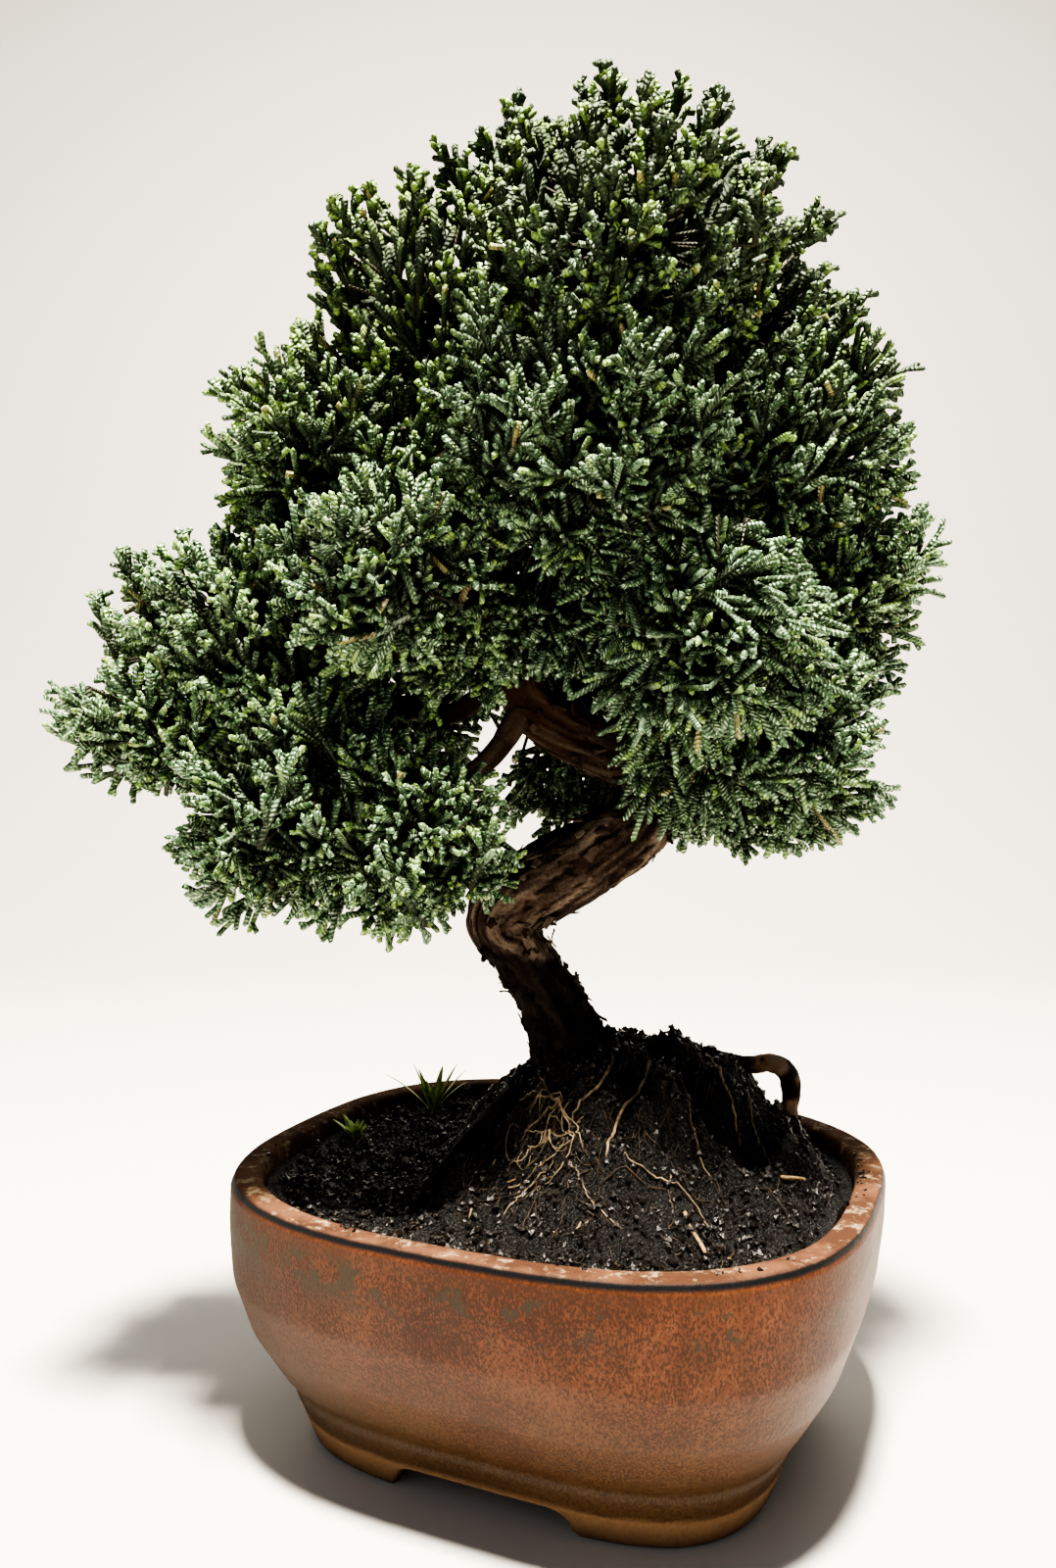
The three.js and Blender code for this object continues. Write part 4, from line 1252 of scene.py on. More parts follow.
@dataclass(frozen=True)
class Wood:
    """Trunk, limbs and roots, grown as one, with bark that peels in strips.

    The trunk's rows are x, y, z and radius. The crust of soil on the bark thickens from soiled_from
    down to soiled_to. The root that arches is bare past bare_root_from, between bare_root_low and
    bare_root_high. The knot is a burr with a hollow in it.
    """

    trunk: tuple = (
        (9, 4, 74, 12), (7.5, 4, 98, 16.5), (5.8, 4, 111, 15.6), (2.8, 4, 122, 13),
        (-4.6, 4, 139, 11.2), (-14.5, 2, 155, 10.5), (-20.5, -3, 166, 12),
        (-14.5, -6, 174, 13.2), (-4.6, -8, 180, 13.4),
        (11.9, -8, 189.6, 13.4), (23.7, -4, 198, 12.6), (28.7, 2, 208, 11.4), (24.8, 7, 218, 10.4),
        (12.9, 9, 225, 9.6), (-0.2, 8, 231, 9), (-10, 6, 238.6, 8.6), (-14, 5, 249, 8),
        (-12, 5, 263, 7.4), (-7, 4, 278, 6.8), (-1, 3, 298, 6.2), (6.4, 2, 330, 5.3),
        (14, 2, 364, 4.2), (20, 3, 395, 3.1), (23, 4, 417, 2.2),
    )
    limb_start: float = 4.6
    limb_end: float = 1.5
    limb_sag: float = 8.0
    flakes: int = 420
    plate_width: float = 4.4
    plate_length: float = 17.0
    twist: float = 0.012
    crack_size: float = 4.0
    fibre_size: float = 1.8
    lobe_size: float = 15.0
    soiled_from: float = 160.0
    soiled_to: float = 146.0
    bare_root_from: float = 66.0
    bare_root_low: float = 96.0
    bare_root_high: float = 124.0
    bend_middle: tuple[float, float, float] = (14, -6, 190)
    knot: tuple[float, float, float] = (16, -19, 196)
    knot_swell: float = 2.6
    knot_width: float = 6.0
    hollow_depth: float = 4.2
    hollow_width: float = 2.6

    def trunk_at(self, height: float) -> Array:
        """Point and radius on the trunk's line at a height.

        Args:
            height: millimetres over the table.

        Returns:
            x, y, z and radius.
        """
        line = np.array(self.trunk, dtype=float)
        above = int(np.argmax(line[:, 2] > height))
        low, high = line[above - 1], line[above]
        share = (height - low[2]) / (high[2] - low[2])
        return low * (1 - share) + high * share

    def limbs(self) -> list[Array]:
        """Control points of each pad's limb, from the trunk or a shared limb to its middle.

        Returns:
            Rows of x, y, z and radius for each pad.
        """
        limbs: dict[str, Array] = {}
        for pad in PADS:
            if isinstance(pad.fork, str):
                start = limbs[pad.fork][-2]
                radius = start[3]
            else:
                start = self.trunk_at(float(pad.fork))
                radius = min(self.limb_start, 0.75 * start[3])
            sagged = (start[:3] + pad.centre) / 2 - (0, 0, self.limb_sag)
            middle = np.array(pad.bend) if pad.bend else sagged
            limbs[pad.name] = np.array([
                [*start[:3], radius],
                [*middle, radius * 0.6 + self.limb_end * 0.4],
                [*pad.centre, self.limb_end],
            ])
        return list(limbs.values())

    def bark_tube(
        self, points: Array, grid: BarkGrid, number: int
    ) -> tuple[Array, Array, Array]:
        """Tube with flaking bark: plates that stand out by different heights, and their seams.

        Args:
            points: rows of x, y, z and radius.
            grid: how the bark is cut.
            number: count of the tubes before it with this grid, for a pattern of its own.

        Returns:
            Vertices, faces and the bark's relief from 0 to 1 at each vertex.
        """
        seed = grid.seed + number
        line = spline(points, grid.rows)
        path, radius = line[:, :3], line[:, 3:]
        stretch = np.linalg.norm(np.diff(path, axis=0), axis=1)
        run = np.concatenate([[0], np.cumsum(stretch)])[:, None]
        _, normal, binormal = frames_along(path)
        angle = np.linspace(0, 2 * np.pi, grid.sides, endpoint=False)[None]
        swirl = angle + run * self.twist
        wide = np.maximum(radius, 4)
        along = 0.25 * run + 0 * swirl
        grain = np.stack([wide * np.cos(swirl), wide * np.sin(swirl), along], axis=-1)
        bend = layered_noise(grain, 6, 2, seed + 3) - 0.5
        around = max(4, int(2 * np.pi * float(np.median(radius)) / self.plate_width))
        u = swirl / (2 * np.pi) * around + 0.7 * bend
        v = run / self.plate_length + 0.9 * bend + 0 * swirl
        seam, own = cell_plates(u, v, around, seed)
        fibre = layered_noise(grain * (1, 1, 0.5), self.fibre_size, 2, seed + 7) - 0.5
        crack = smoothstep(seam, 0.16, 0.02)
        crack = crack * smoothstep(layered_noise(grain, self.crack_size, 2, seed + 11), 0.4, 0.6)
        relief = np.clip(0.25 + 0.5 * own - 0.45 * crack + 0.95 * fibre, 0, 1)
        lobes = 1 + 0.06 * np.cos(3 * angle + 0.03 * run)
        lobes = lobes + 0.2 * (layered_noise(grain, self.lobe_size, 3, seed + 5) - 0.5)
        soiled = smoothstep(path[:, 2:], self.soiled_from, self.soiled_to)
        lumps = 3.2 * (layered_noise(grain * (1, 1, 3), 5, 3, seed + 9) - 0.68)
        grit = 2.0 * (layered_noise(grain * (1, 1, 4), 1.6, 1, seed + 13) - 0.5)
        crust = soiled * np.minimum(1.7, 0.12 * radius) * (lumps + grit)
        reach = radius * lobes + grid.depth * (relief - 0.5) + crust
        angle = angle[..., None]
        outward = np.cos(angle) * normal[:, None] + np.sin(angle) * binormal[:, None]
        vertices, faces = capped_rings(path[:, None] + reach[..., None] * outward)
        return vertices, faces, np.concatenate([relief.ravel(), [0.3, 0.3]])

    def bark_flakes(self) -> tuple[Array, Array, Array]:
        """Thin curled plates of bark, held at one end and torn at the other.

        Returns:
            Vertices, faces and the bark's relief at each vertex.
        """
        random = np.random.default_rng(17)
        count, rings, corners = self.flakes, 5, 8
        line = spline(np.array(self.trunk, dtype=float), 600)
        weight = np.interp(
            line[:, 2], [100, 112, 150, 168, 200, 240, 330], [0.3, 1.6, 1.6, 1.2, 1.2, 1, 0.2])
        row = random.choice(len(line), count, p=weight / weight.sum())
        tangent, normal, binormal = (vectors[row] for vectors in frames_along(line[:, :3]))
        angle = random.uniform(0, 2 * np.pi, (count, 1))
        outward = np.cos(angle) * normal + np.sin(angle) * binormal
        side = np.cross(tangent, outward)
        way = random.choice([-1, 1], (count, 1))
        grain = unit(tangent * way + random.normal(0, 0.35, (count, 1)) * side)
        across = np.cross(outward, grain)
        radius = line[row, 3:]
        root = line[row, :3] + outward * (radius - 0.2)
        length, width = (
            random.uniform(low, high, (count, 1, 1, 1)) for low, high in ((2.0, 6.5), (1.0, 3.6)))
        lift = random.gamma(1.5, 0.75, (count, 1, 1, 1))
        share = np.linspace(0, 1, rings)[None, :, None, None]
        place = np.array([-1, -0.3, 0.35, 1])
        level = np.ones(4)
        outline = np.concatenate([np.stack([place, -level], 1), np.stack([place[::-1], level], 1)])
        torn = 1 + random.uniform(-0.35, 0.25, (count, rings, corners, 1))
        over = width * 0.5 * (1 - 0.45 * share ** 3) * torn * outline[None, None, :, :1]
        drop = over ** 2 / (2 * radius[:, None, None])
        rise = 0.5 + lift * share ** 1.8 - drop + 0.16 * outline[None, None, :, 1:]
        points = (
            root[:, None, None]
            + grain[:, None, None] * (length * share * torn ** 0.5)
            + outward[:, None, None] * rise
            + across[:, None, None] * over
        )
        single = capped_rings(points[0])[1]
        ends = np.stack([points[:, 0].mean(axis=1), points[:, -1].mean(axis=1)], axis=1)
        whole = np.concatenate([points.reshape(count, -1, 3), ends], axis=1)
        relief = np.repeat(random.uniform(0.2, 0.75, count), whole.shape[1])
        return whole.reshape(-1, 3), repeated(single, count, whole.shape[1]), relief

    def build(self, bark: Material) -> None:
        """All the wood in one piece, with its bark's relief as an attribute.

        Args:
            bark: its finish.
        """
        tubes = [self.bark_tube(np.array(self.trunk, dtype=float), TRUNK_BARK, 0)]
        for number, limb in enumerate(self.limbs()):
            tubes.append(self.bark_tube(limb, LIMB_BARK, number))
        for number, root in enumerate(ROOT_PATHS):
            tubes.append(self.bark_tube(np.array(root, dtype=float), ROOT_BARK, number))
        tubes.append(self.bark_flakes())
        points, faces = joined([(vertices, quads) for vertices, quads, _ in tubes])
        away = np.linalg.norm(points - self.knot, axis=1)
        burr = self.knot_swell * np.exp(-(away / self.knot_width) ** 2)
        burr = burr - self.hollow_depth * np.exp(-(away / self.hollow_width) ** 2)
        points = points + unit(points - self.bend_middle) * burr[:, None]
        tan = smoothstep(points[:, 0], self.bare_root_from - 2, self.bare_root_from + 2)
        tan = tan * (points[:, 2] > self.bare_root_low) * (points[:, 2] < self.bare_root_high)
        tan = tan * smoothstep(layered_noise(points, 9, 2, 47), 0.36, 0.44)
        piece = front_piece("juniper_wood", [(points, faces)], bark, "juniper_bark", "wood")
        set_attribute(piece, "relief", np.concatenate([values for _, _, values in tubes]))
        set_attribute(piece, "tan", tan)


@dataclass(frozen=True)
class SprayShape:
    """A spray that grows along +Z from the origin: twigs round a stem, and forks on the twigs.

    The leans are the angles between stem and twigs, from the lowest to the topmost twig, and
    fork_turn is the angle between a twig and its forks. curl is how far the twigs bend upwards.
    """

    stem: float
    shortest: float
    longest: float
    low_lean: float
    high_lean: float
    curl: float
    fork_length: float
    fork_turn: float
    radius: float
    twigs: int = 7
    forks: int = 2

    def draw(self, random: Generator, count: int) -> dict[str, Array]:
        """Draws several sprays.

        Args:
            random: the seeded source of their variation.
            count: how many sprays.

        Returns:
            Roots and ways (direction times length) of the twigs, and of each twig's forks their
            share of the way along it and their own ways.
        """
        order = np.arange(self.twigs)[None]
        share = order + random.uniform(0.1, 0.9, (count, self.twigs))
        share = np.clip(share / (self.twigs - 1.5), 0, 1)
        turn = GOLDEN_TURN * order + random.uniform(-0.5, 0.5, share.shape)
        lean = self.low_lean + (self.high_lean - self.low_lean) * share
        lean = lean + random.normal(0, 0.12, share.shape)
        height = self.stem * (0.18 + 0.8 * share)
        length = random.uniform(self.shortest, self.longest, share.shape) * (1.2 - 0.35 * share)
        way = np.stack(
            [np.sin(lean) * np.cos(turn), np.sin(lean) * np.sin(turn), np.cos(lean)], axis=-1)
        root = np.zeros_like(way)
        root[..., 2] = height
        each = (count, self.twigs, self.forks)
        along = np.linspace(0.3, 0.72, self.forks) + random.uniform(-0.08, 0.08, each)
        flat = unit(np.cross(way, np.array([0.0, 0.0, 1.0])))
        side = np.where(np.arange(self.forks) % 2, -1.0, 1.0)[:, None]
        skew = unit(flat[:, :, None] * side + random.normal(0, 0.5, (*each, 3)))
        fork = unit(way[:, :, None] * math.cos(self.fork_turn) + skew * math.sin(self.fork_turn))
        reach = self.fork_length * (1.25 - 0.7 * along) * random.uniform(0.75, 1.3, each)
        return {
            "root": root, "way": way * length[..., None], "share": along,
            "fork": fork * reach[..., None],
        }


SPRAYS = {
    Habit.UPRIGHT: SprayShape(
        stem=15, shortest=7, longest=12, low_lean=1.0, high_lean=0.15, curl=0.6,
        fork_length=4.6, fork_turn=0.75, radius=1.25),
    Habit.SPREADING: SprayShape(
        stem=16, shortest=10, longest=19, low_lean=1.1, high_lean=0.2, curl=0.2,
        fork_length=6.4, fork_turn=0.6, radius=1.15),
    Habit.HANGING: SprayShape(
        stem=16, shortest=15, longest=28, low_lean=0.85, high_lean=0.15, curl=0.1,
        fork_length=9, fork_turn=0.45, radius=1.15, forks=1),
}


@dataclass(frozen=True)
class Tuft:
    """Extra sprays of a pad, which hang over the bare wood or reach past the pad's outline."""

    pad: str
    centre: tuple[float, float, float]
    spread: tuple[float, float, float]
    aim: tuple[float, float, float]
    count: int


TUFTS = (
    Tuft("right_front", (34, -34, 214), (18, 12, 20), (-0.35, -0.55, -1.0), 22),
    Tuft("right_front", (28, -46, 238), (22, 10, 14), (-0.5, -1.0, -0.8), 14),
    Tuft("right_lower", (48, -24, 202), (16, 9, 12), (0.0, -0.35, -1.0), 20),
    Tuft("right_lower", (62, -10, 192), (25, 14, 7), (0.0, -0.1, -1.0), 16),
    Tuft("front_middle", (0, -38, 256), (28, 9, 16), (-0.1, -0.5, -0.9), 22),
    Tuft("left_inner", (-34, -36, 244), (16, 9, 13), (-0.2, -0.6, -0.6), 22),
    Tuft("back_low", (0, 30, 200), (22, 12, 12), (-0.15, 0.2, -0.8), 26),
    Tuft("crown", (-14, 0, 440), (11, 14, 8), (-0.4, 0.0, 1.0), 12),
    Tuft("crown", (-34, 0, 420), (10, 14, 9), (-0.5, 0.0, 0.9), 12),
    Tuft("top_left", (-72, 0, 380), (8, 16, 18), (-0.8, 0.0, 0.7), 11),
    Tuft("crown", (73, 2, 424), (6, 14, 9), (0.8, 0.0, 0.8), 10),
    Tuft("left_middle", (-113, -4, 308), (6, 12, 6), (-1.0, 0.0, 0.3), 7),
    Tuft("top_right", (99, 4, 378), (6, 12, 8), (1.0, 0.0, 0.4), 6),
    Tuft("right_middle", (112, 0, 346), (6, 14, 9), (1.0, 0.0, 0.3), 6),
    Tuft("left_branch", (-142, -4, 285), (12, 14, 7), (-0.5, 0.0, 0.9), 10),
    Tuft("left_branch", (-155, -4, 263), (5, 12, 8), (-1.0, 0.0, 0.2), 5),
    Tuft("left_front", (-46, -30, 168), (9, 12, 5), (0.1, -0.2, -1.0), 8),
)


@dataclass(frozen=True)
class ShootKind:
    """One kind of shoot, told by shares of its length from the root to the blunt end.

    places and swell are where its rings stand and how thick they are. It is open to the light by
    open_root at the root and by open_rise more at the end. Its brown skin has the strength brown
    and comes in between the two shares of fade. Only a leafy kind has young tips.
    """

    places: tuple[float, ...]
    swell: tuple[float, ...]
    open_root: float
    open_rise: float
    brown: float = 0.0
    fade: tuple[float, float] = (0.75, 0.2)
    leafy: bool = False


STEM = ShootKind((0, 0.5, 0.95), (0.85, 1.04, 0.9), 0.2, 0.5, brown=0.6)
LONG_SHOOT = ShootKind((0, 0.5, 0.95), (0.85, 1.04, 0.9), 0.3, 0.7, leafy=True)
SHORT_SHOOT = ShootKind((0, 0.9), (0.85, 1.0), 0.55, 0.45, leafy=True)
BROWN_TWIG = ShootKind((0, 1), (1.3, 0.9), 0.35, 0.3, brown=0.85, fade=(2.0, 1.0))


@dataclass(frozen=True)
class ShootRuns:
    """Paths of many shoots: start, way to the end, bow, radius, and how far out the spray is."""

    start: Array
    reach: Array
    bow: Array
    radius: Array
    out: Array


@dataclass(frozen=True)
class Foliage:
    """Scale-leaved shoots in sprays, over the twiggy middle of each pad, dark as painted shade.

    A spray stands on every area of a pad's surface, in square millimetres. Those that outer_share
    leaves over end by inner_drop further in. One leaf on a shoot is scale_length long.
    """

    wood: Wood
    area: float = 198.0
    squareness: float = 2.3
    lump_size: float = 19.0
    sway_size: float = 26.0
    outer_share: float = 0.62
    outer_out: float = 1.0
    inner_out: float = 0.45
    tuft_out: float = 0.8
    inner_drop: float = 10.0
    shoot_depth: float = 19.0
    core_gap: float = 1.2
    core_rows: int = 16
    core_sides: int = 20
    overlap: float = 8.0
    middle: tuple[float, float, float] = (4, 0, 270)
    variants: int = 10
    bare_trunk_rows: int = 18
    trunk_gap: float = 3.0
    scale_length: float = 1.45
    blunt_end: float = 0.1
    # Heights of the least and of the most wax and painted light: the crown is painted darkest.
    wax_and_light_none: float = 410.0
    wax_and_light_full: float = 250.0

    def cell_reach(self, pad: Pad, directions: Array, gap: float) -> Array:
        """Distance in each direction to the first plane that parts the pad from another.

        Args:
            pad: the pad.
            directions: unit vectors from its middle.
            gap: width to leave between the two pads, or less than 0 for an overlap.

        Returns:
            One distance for each direction.
        """
        others = [other for other in PADS if other is not pad]
        between = np.array([np.subtract(other.centre, pad.centre) for other in others], dtype=float)
        length = np.linalg.norm(between, axis=1)
        share = np.array([pad.size / (pad.size + other.size) for other in others])
        slope = directions @ (between / length[:, None]).T
        parting = share * length - gap / 2
        return np.where(slope > 1e-6, parting / np.maximum(slope, 1e-6), np.inf).min(axis=1)

    def pad_reach(self, halves: Array, directions: Array) -> Array:
        """Distance to a slightly squared ellipsoid: (sum of |direction / half|^n)^(-1 / n)."""
        power = self.squareness
        return (np.abs(directions / halves) ** power).sum(axis=1) ** (-1 / power)

    @staticmethod
    def even_directions(count: int, turn: float) -> Array:
        """Directions spread over a ball on a golden-angle spiral.

        Args:
            count: how many.
            turn: where the spiral starts, in radians.

        Returns:
            Unit vectors.
        """
        index = np.arange(count)
        z = 1 - 2 * (index + 0.5) / count
        ring = np.sqrt(1 - z * z)
        angle = math.pi * (3 - math.sqrt(5)) * index + turn
        return np.stack([ring * np.cos(angle), ring * np.sin(angle), z], axis=1)

    def core(self, pad: Pad, seed: int) -> Skin:
        """Rough middle, dark as painted shade: the solid core's surface, broken up by strong noise.

        Args:
            pad: the pad.
            seed: number that picks the pattern.

        Returns:
            The closed skin.
        """
        polar = np.linspace(np.pi, 0, self.core_rows + 2)[1:-1, None]
        angle = np.linspace(0, 2 * np.pi, self.core_sides, endpoint=False)[None]
        level = np.cos(polar) + 0 * angle
        ball = np.stack(
            [np.sin(polar) * np.cos(angle), np.sin(polar) * np.sin(angle), level], axis=-1)
        flat = ball.reshape(-1, 3)
        halves = np.array(pad.reach) - self.shoot_depth
        reach = np.minimum(self.pad_reach(halves, flat), self.cell_reach(pad, flat, self.core_gap))
        rough = layered_noise(flat * reach[:, None], 9, 2, seed)
        surface = pad.centre + flat * (reach * (0.1 + 0.7 * rough))[:, None]
        return capped_rings(surface.reshape(ball.shape))

    def build_cores(self, finish: Material) -> None:
        """The middles of all the pads, near black as painted shade, which close the view through
        them.
        """
        cores = [self.core(pad, 200 + number) for number, pad in enumerate(PADS)]
        front_piece("shaded_inner_twigs", cores, finish, "juniper_foliage")

    def stations(self, pad: Pad, random: Generator) -> tuple[Array, Array, Array]:
        """Where the sprays of a pad stand.

        Args:
            pad: the pad.
            random: its seeded source.

        Returns:
            The tips, the growing directions and how far out each spray is, from 0 to 1.
        """
        x, y, z = pad.reach
        count = int(4 * np.pi * (x * y + y * z + z * x) / 3 / self.area * pad.fullness)
        ways = self.even_directions(count, random.uniform(0, 6))
        ways = unit(ways + random.normal(0, 0.07, (count, 3)))
        full = self.pad_reach(np.array(pad.reach, dtype=float), ways)
        lumps = layered_noise(pad.centre + ways * full[:, None], self.lump_size, 2, 71)
        full = full * (0.84 + 0.26 * lumps)
        cell = self.cell_reach(pad, ways, -self.overlap)
        keep = cell > 0.62 * full
        ways, full, cell = ways[keep], full[keep], cell[keep]
        outer = random.random(len(ways)) < self.outer_share
        drop = np.where(outer, 0, self.inner_drop)
        reach = np.minimum(full, cell) - drop - random.uniform(0, 4, len(ways))
        tips = pad.centre + ways * reach[:, None]
        normal = unit(ways / np.array(pad.reach) ** 2)
        away = unit(tips - self.middle) * (0.45, 0.45, 0.3)
        sway = [layered_noise(tips, self.sway_size, 1, 81 + axis) - 0.5 for axis in range(3)]
        lift = {Habit.UPRIGHT: 0.7, Habit.SPREADING: 0.3, Habit.HANGING: -0.3}[pad.habit]
        aim = normal + away + 1.1 * np.stack(sway, axis=1)
        aim = unit(aim + random.normal(0, 0.32, normal.shape) + np.array([0, 0, lift]))
        inward = np.minimum((aim * ways).sum(axis=1, keepdims=True) - 0.4, 0)
        aim = unit(aim - 1.3 * inward * ways)
        return tips, aim, np.where(outer, self.outer_out, self.inner_out)

    def tuft_stations(self, pad: Pad, random: Generator) -> tuple[Array, Array, Array]:
        """Tips, directions and openness of the pad's extra sprays, as stations gives them.

        Args:
            pad: the pad.
            random: its seeded source.

        Returns:
            Three arrays, with a row for a spray.
        """
        tips, aims = [np.zeros((0, 3))], [np.zeros((0, 3))]
        for tuft in TUFTS:
            if tuft.pad == pad.name:
                share = random.uniform(-1, 1, (tuft.count, 3))
                tips.append(tuft.centre + share * tuft.spread)
                loose = random.normal(0, 0.15, share.shape)
                aims.append(unit(np.array(tuft.aim) + 0.35 * share + loose))
        whole = np.concatenate(tips)
        return whole, np.concatenate(aims), np.full(len(whole), self.tuft_out)

    def clear_of_trunk(self, points: Array) -> Array:
        """Whether points keep clear of the bare trunk."""
        line = spline(np.array(self.wood.trunk, dtype=float)[:self.bare_trunk_rows], 90)
        away = np.linalg.norm(points[:, None] - line[None, :, :3], axis=2) - line[None, :, 3]
        return away.min(axis=1) > self.trunk_gap

    def shoot_skin(self, kind: ShootKind, runs: ShootRuns, random: Generator) -> dict[str, Array]:
        """Three-sided shoots along start + s * reach + (s^2 - s) * bow, with a blunt end.

        Args:
            kind: where the rings stand and how thick they are.
            runs: the paths of the shoots.
            random: seeded source for the turn of each shoot.

        Returns:
            Points shaped (shoots, corners, 3), faces, and for each corner its share along the shoot
            and the phase of its scale leaves, whose rows are shifted from side to side.
        """
        places = np.array(kind.places)[None, :, None]
        reach, bow = runs.reach[:, None], runs.bow[:, None]
        count, rings = len(runs.start), len(kind.places)
        path = runs.start[:, None] + places * reach + (places ** 2 - places) * bow
        tangent = unit(reach + (2 * places - 1) * bow)
        reference = np.cross(runs.reach, random.normal(size=runs.reach.shape))[:, None]
        normal = unit(reference - (reference * tangent).sum(-1, keepdims=True) * tangent)
        binormal = np.cross(tangent, normal)[:, :, None]
        normal = normal[:, :, None]
        angle = (np.arange(3) * 2 * np.pi / 3)[None, None, :, None]
        thick = (runs.radius[:, None] * np.array(kind.swell)[None])[:, :, None, None]
        corners = path[:, :, None] + thick * (np.cos(angle) * normal + np.sin(angle) * binormal)
        length = np.linalg.norm(runs.reach, axis=1)
        past = length * (1 - kind.places[-1]) + self.blunt_end * runs.radius
        tips = path[:, -1] + tangent[:, -1] * past[:, None]
        points = np.concatenate([corners.reshape(count, -1, 3), tips[:, None]], axis=1)
        share = np.concatenate([np.repeat(kind.places, 3), [1.0]])[None] + 0 * length[:, None]
        side = np.concatenate([np.tile([0.0, 2.0, 1.0], rings), [1.0]])
        phase = 2 * np.pi * share * length[:, None] / self.scale_length + np.pi * side[None]
        phase = phase + random.uniform(0, 6, (count, 1))
        top = 3 * rings - 3
        fan = [[top + a, top + (a + 1) % 3, top + 3, -1] for a in range(3)]
        single = np.concatenate([ring_faces(rings, 3), np.array([[0, 2, 1, -1], *fan])])
        faces = repeated(single, count, 3 * rings + 1)
        return {"points": points, "faces": faces, "share": share, "phase": phase}

    def grow(
        self, pad: Pad, kind: ShootKind, runs: ShootRuns, random: Generator
    ) -> dict[str, Array]:
        """Shoots of one kind, with the numbers that their colour is read from.

        Args:
            pad: the pad that they belong to.
            kind: what they look like.
            runs: their paths.
            random: the pad's seeded source.

        Returns:
            What shoot_skin returns, and one array for each of the other names in SHOOT_VALUES.
        """
        skin = self.shoot_skin(kind, runs, random)
        share, out = skin["share"], runs.out[:, None]
        level = runs.start[:, 2:] + random.normal(0, 12, (len(out), 1))
        # Less wax and less painted light high up: the crown is painted darker, with less bloom and
        # fewer painted highlights.
        wax_and_light = 0.12 + 0.8 * smoothstep(level, self.wax_and_light_none, self.wax_and_light_full)
        chance = random.random((len(out), 1))
        young = smoothstep(chance, 1 - pad.young, 1.1 - 0.5 * pad.young)
        # outer is painted shade: darker towards a shoot's root, in the inner sprays and high up.
        skin["outer"] = (kind.open_root + kind.open_rise * share) * out * (0.37 + 0.63 * wax_and_light)
        skin["woody"] = kind.brown * smoothstep(share, *kind.fade)
        skin["young"] = kind.leafy * young * smoothstep(share, 0.45, 1) * out
        skin["chance"] = chance + 0 * share
        skin["wax_and_light"] = wax_and_light + 0 * share
        return skin

    def build_pad(self, pad: Pad, number: int, finish: Material) -> None:
        """One pad: its brown twigs and all its sprays, in one piece.

        Args:
            pad: the pad.
            number: its place among the pads.
            finish: the foliage.
        """
        random = np.random.default_rng(100 + number)
        shape = SPRAYS[pad.habit]
        template = shape.draw(random, self.variants)
        regular, extra = self.stations(pad, random), self.tuft_stations(pad, random)
        tips, aims, out = (np.concatenate(pair) for pair in zip(regular, extra))
        size = random.uniform(0.85, 1.12, len(tips))
        starts = tips - aims * ((shape.stem + 0.75 * shape.longest) * size)[:, None]
        free = self.clear_of_trunk(tips) & self.clear_of_trunk((tips + starts) / 2)
        aims, out, size, starts = (values[free] for values in (aims, out, size, starts))
        side = unit(np.cross(aims, random.normal(size=aims.shape)))
        basis = np.stack([side, np.cross(aims, side), aims], axis=2) * size[:, None, None]
        kind = random.integers(0, self.variants, len(starts))
        roots = np.einsum("kij,knj->kni", basis, template["root"][kind]) + starts[:, None]
        ways = np.einsum("kij,knj->kni", basis, template["way"][kind])
        rise = -0.25 if pad.habit is Habit.HANGING else 0.45
        target = unit(aims + np.array([0, 0, rise]))[:, None]
        length = np.linalg.norm(ways, axis=2, keepdims=True)
        bow = shape.curl * length * (target - ways / length) / 2
        share = template["share"][kind][..., None]
        fork_roots = roots[:, :, None] + share * ways[:, :, None] + share ** 2 * bow[:, :, None]
        fork_ways = np.einsum("kij,knmj->knmi", basis, template["fork"][kind])

        stem = aims * (shape.stem * size)[:, None]
        runs = ShootRuns(starts, stem, np.zeros_like(stem), shape.radius * 1.1 * size, out)
        groups = [self.grow(pad, STEM, runs, random)]
        thick = shape.radius * random.uniform(0.9, 1.12, len(starts) * shape.twigs)
        runs = ShootRuns(
            roots.reshape(-1, 3), (ways + bow).reshape(-1, 3), bow.reshape(-1, 3), thick,
            np.repeat(out, shape.twigs))
        groups.append(self.grow(pad, LONG_SHOOT, runs, random))
        rich = out > 0.5
        start, reach = fork_roots[rich].reshape(-1, 3), fork_ways[rich].reshape(-1, 3)
        thick = shape.radius * random.uniform(0.86, 1.1, len(start))
        runs = ShootRuns(
            start, reach, np.zeros_like(reach), thick,
            np.repeat(out[rich], shape.twigs * shape.forks))
        groups.append(self.grow(pad, SHORT_SHOOT, runs, random))
        anchors = pad.centre + (starts - pad.centre) * 0.25
        reach = starts - anchors
        runs = ShootRuns(
            anchors, reach, 0.2 * reach * (0, 0, 1), np.full(len(starts), 0.75), out)
        groups.append(self.grow(pad, BROWN_TWIG, runs, random))

        parts = [(skin["points"].reshape(-1, 3), skin["faces"]) for skin in groups]
        piece = front_piece(
            f"shoots_{pad.name}", parts, finish, "juniper_foliage", f"foliage_{pad.name}")
        for name in SHOOT_VALUES:
            set_attribute(piece, name, np.concatenate([skin[name].ravel() for skin in groups]))


@dataclass(frozen=True)
class Rootlet:
    """A bare rootlet on the mound: x and y of its turns, its radius, and the rise of its middle."""

    turns: tuple[tuple[float, float], ...]
    radius: float
    rise: float


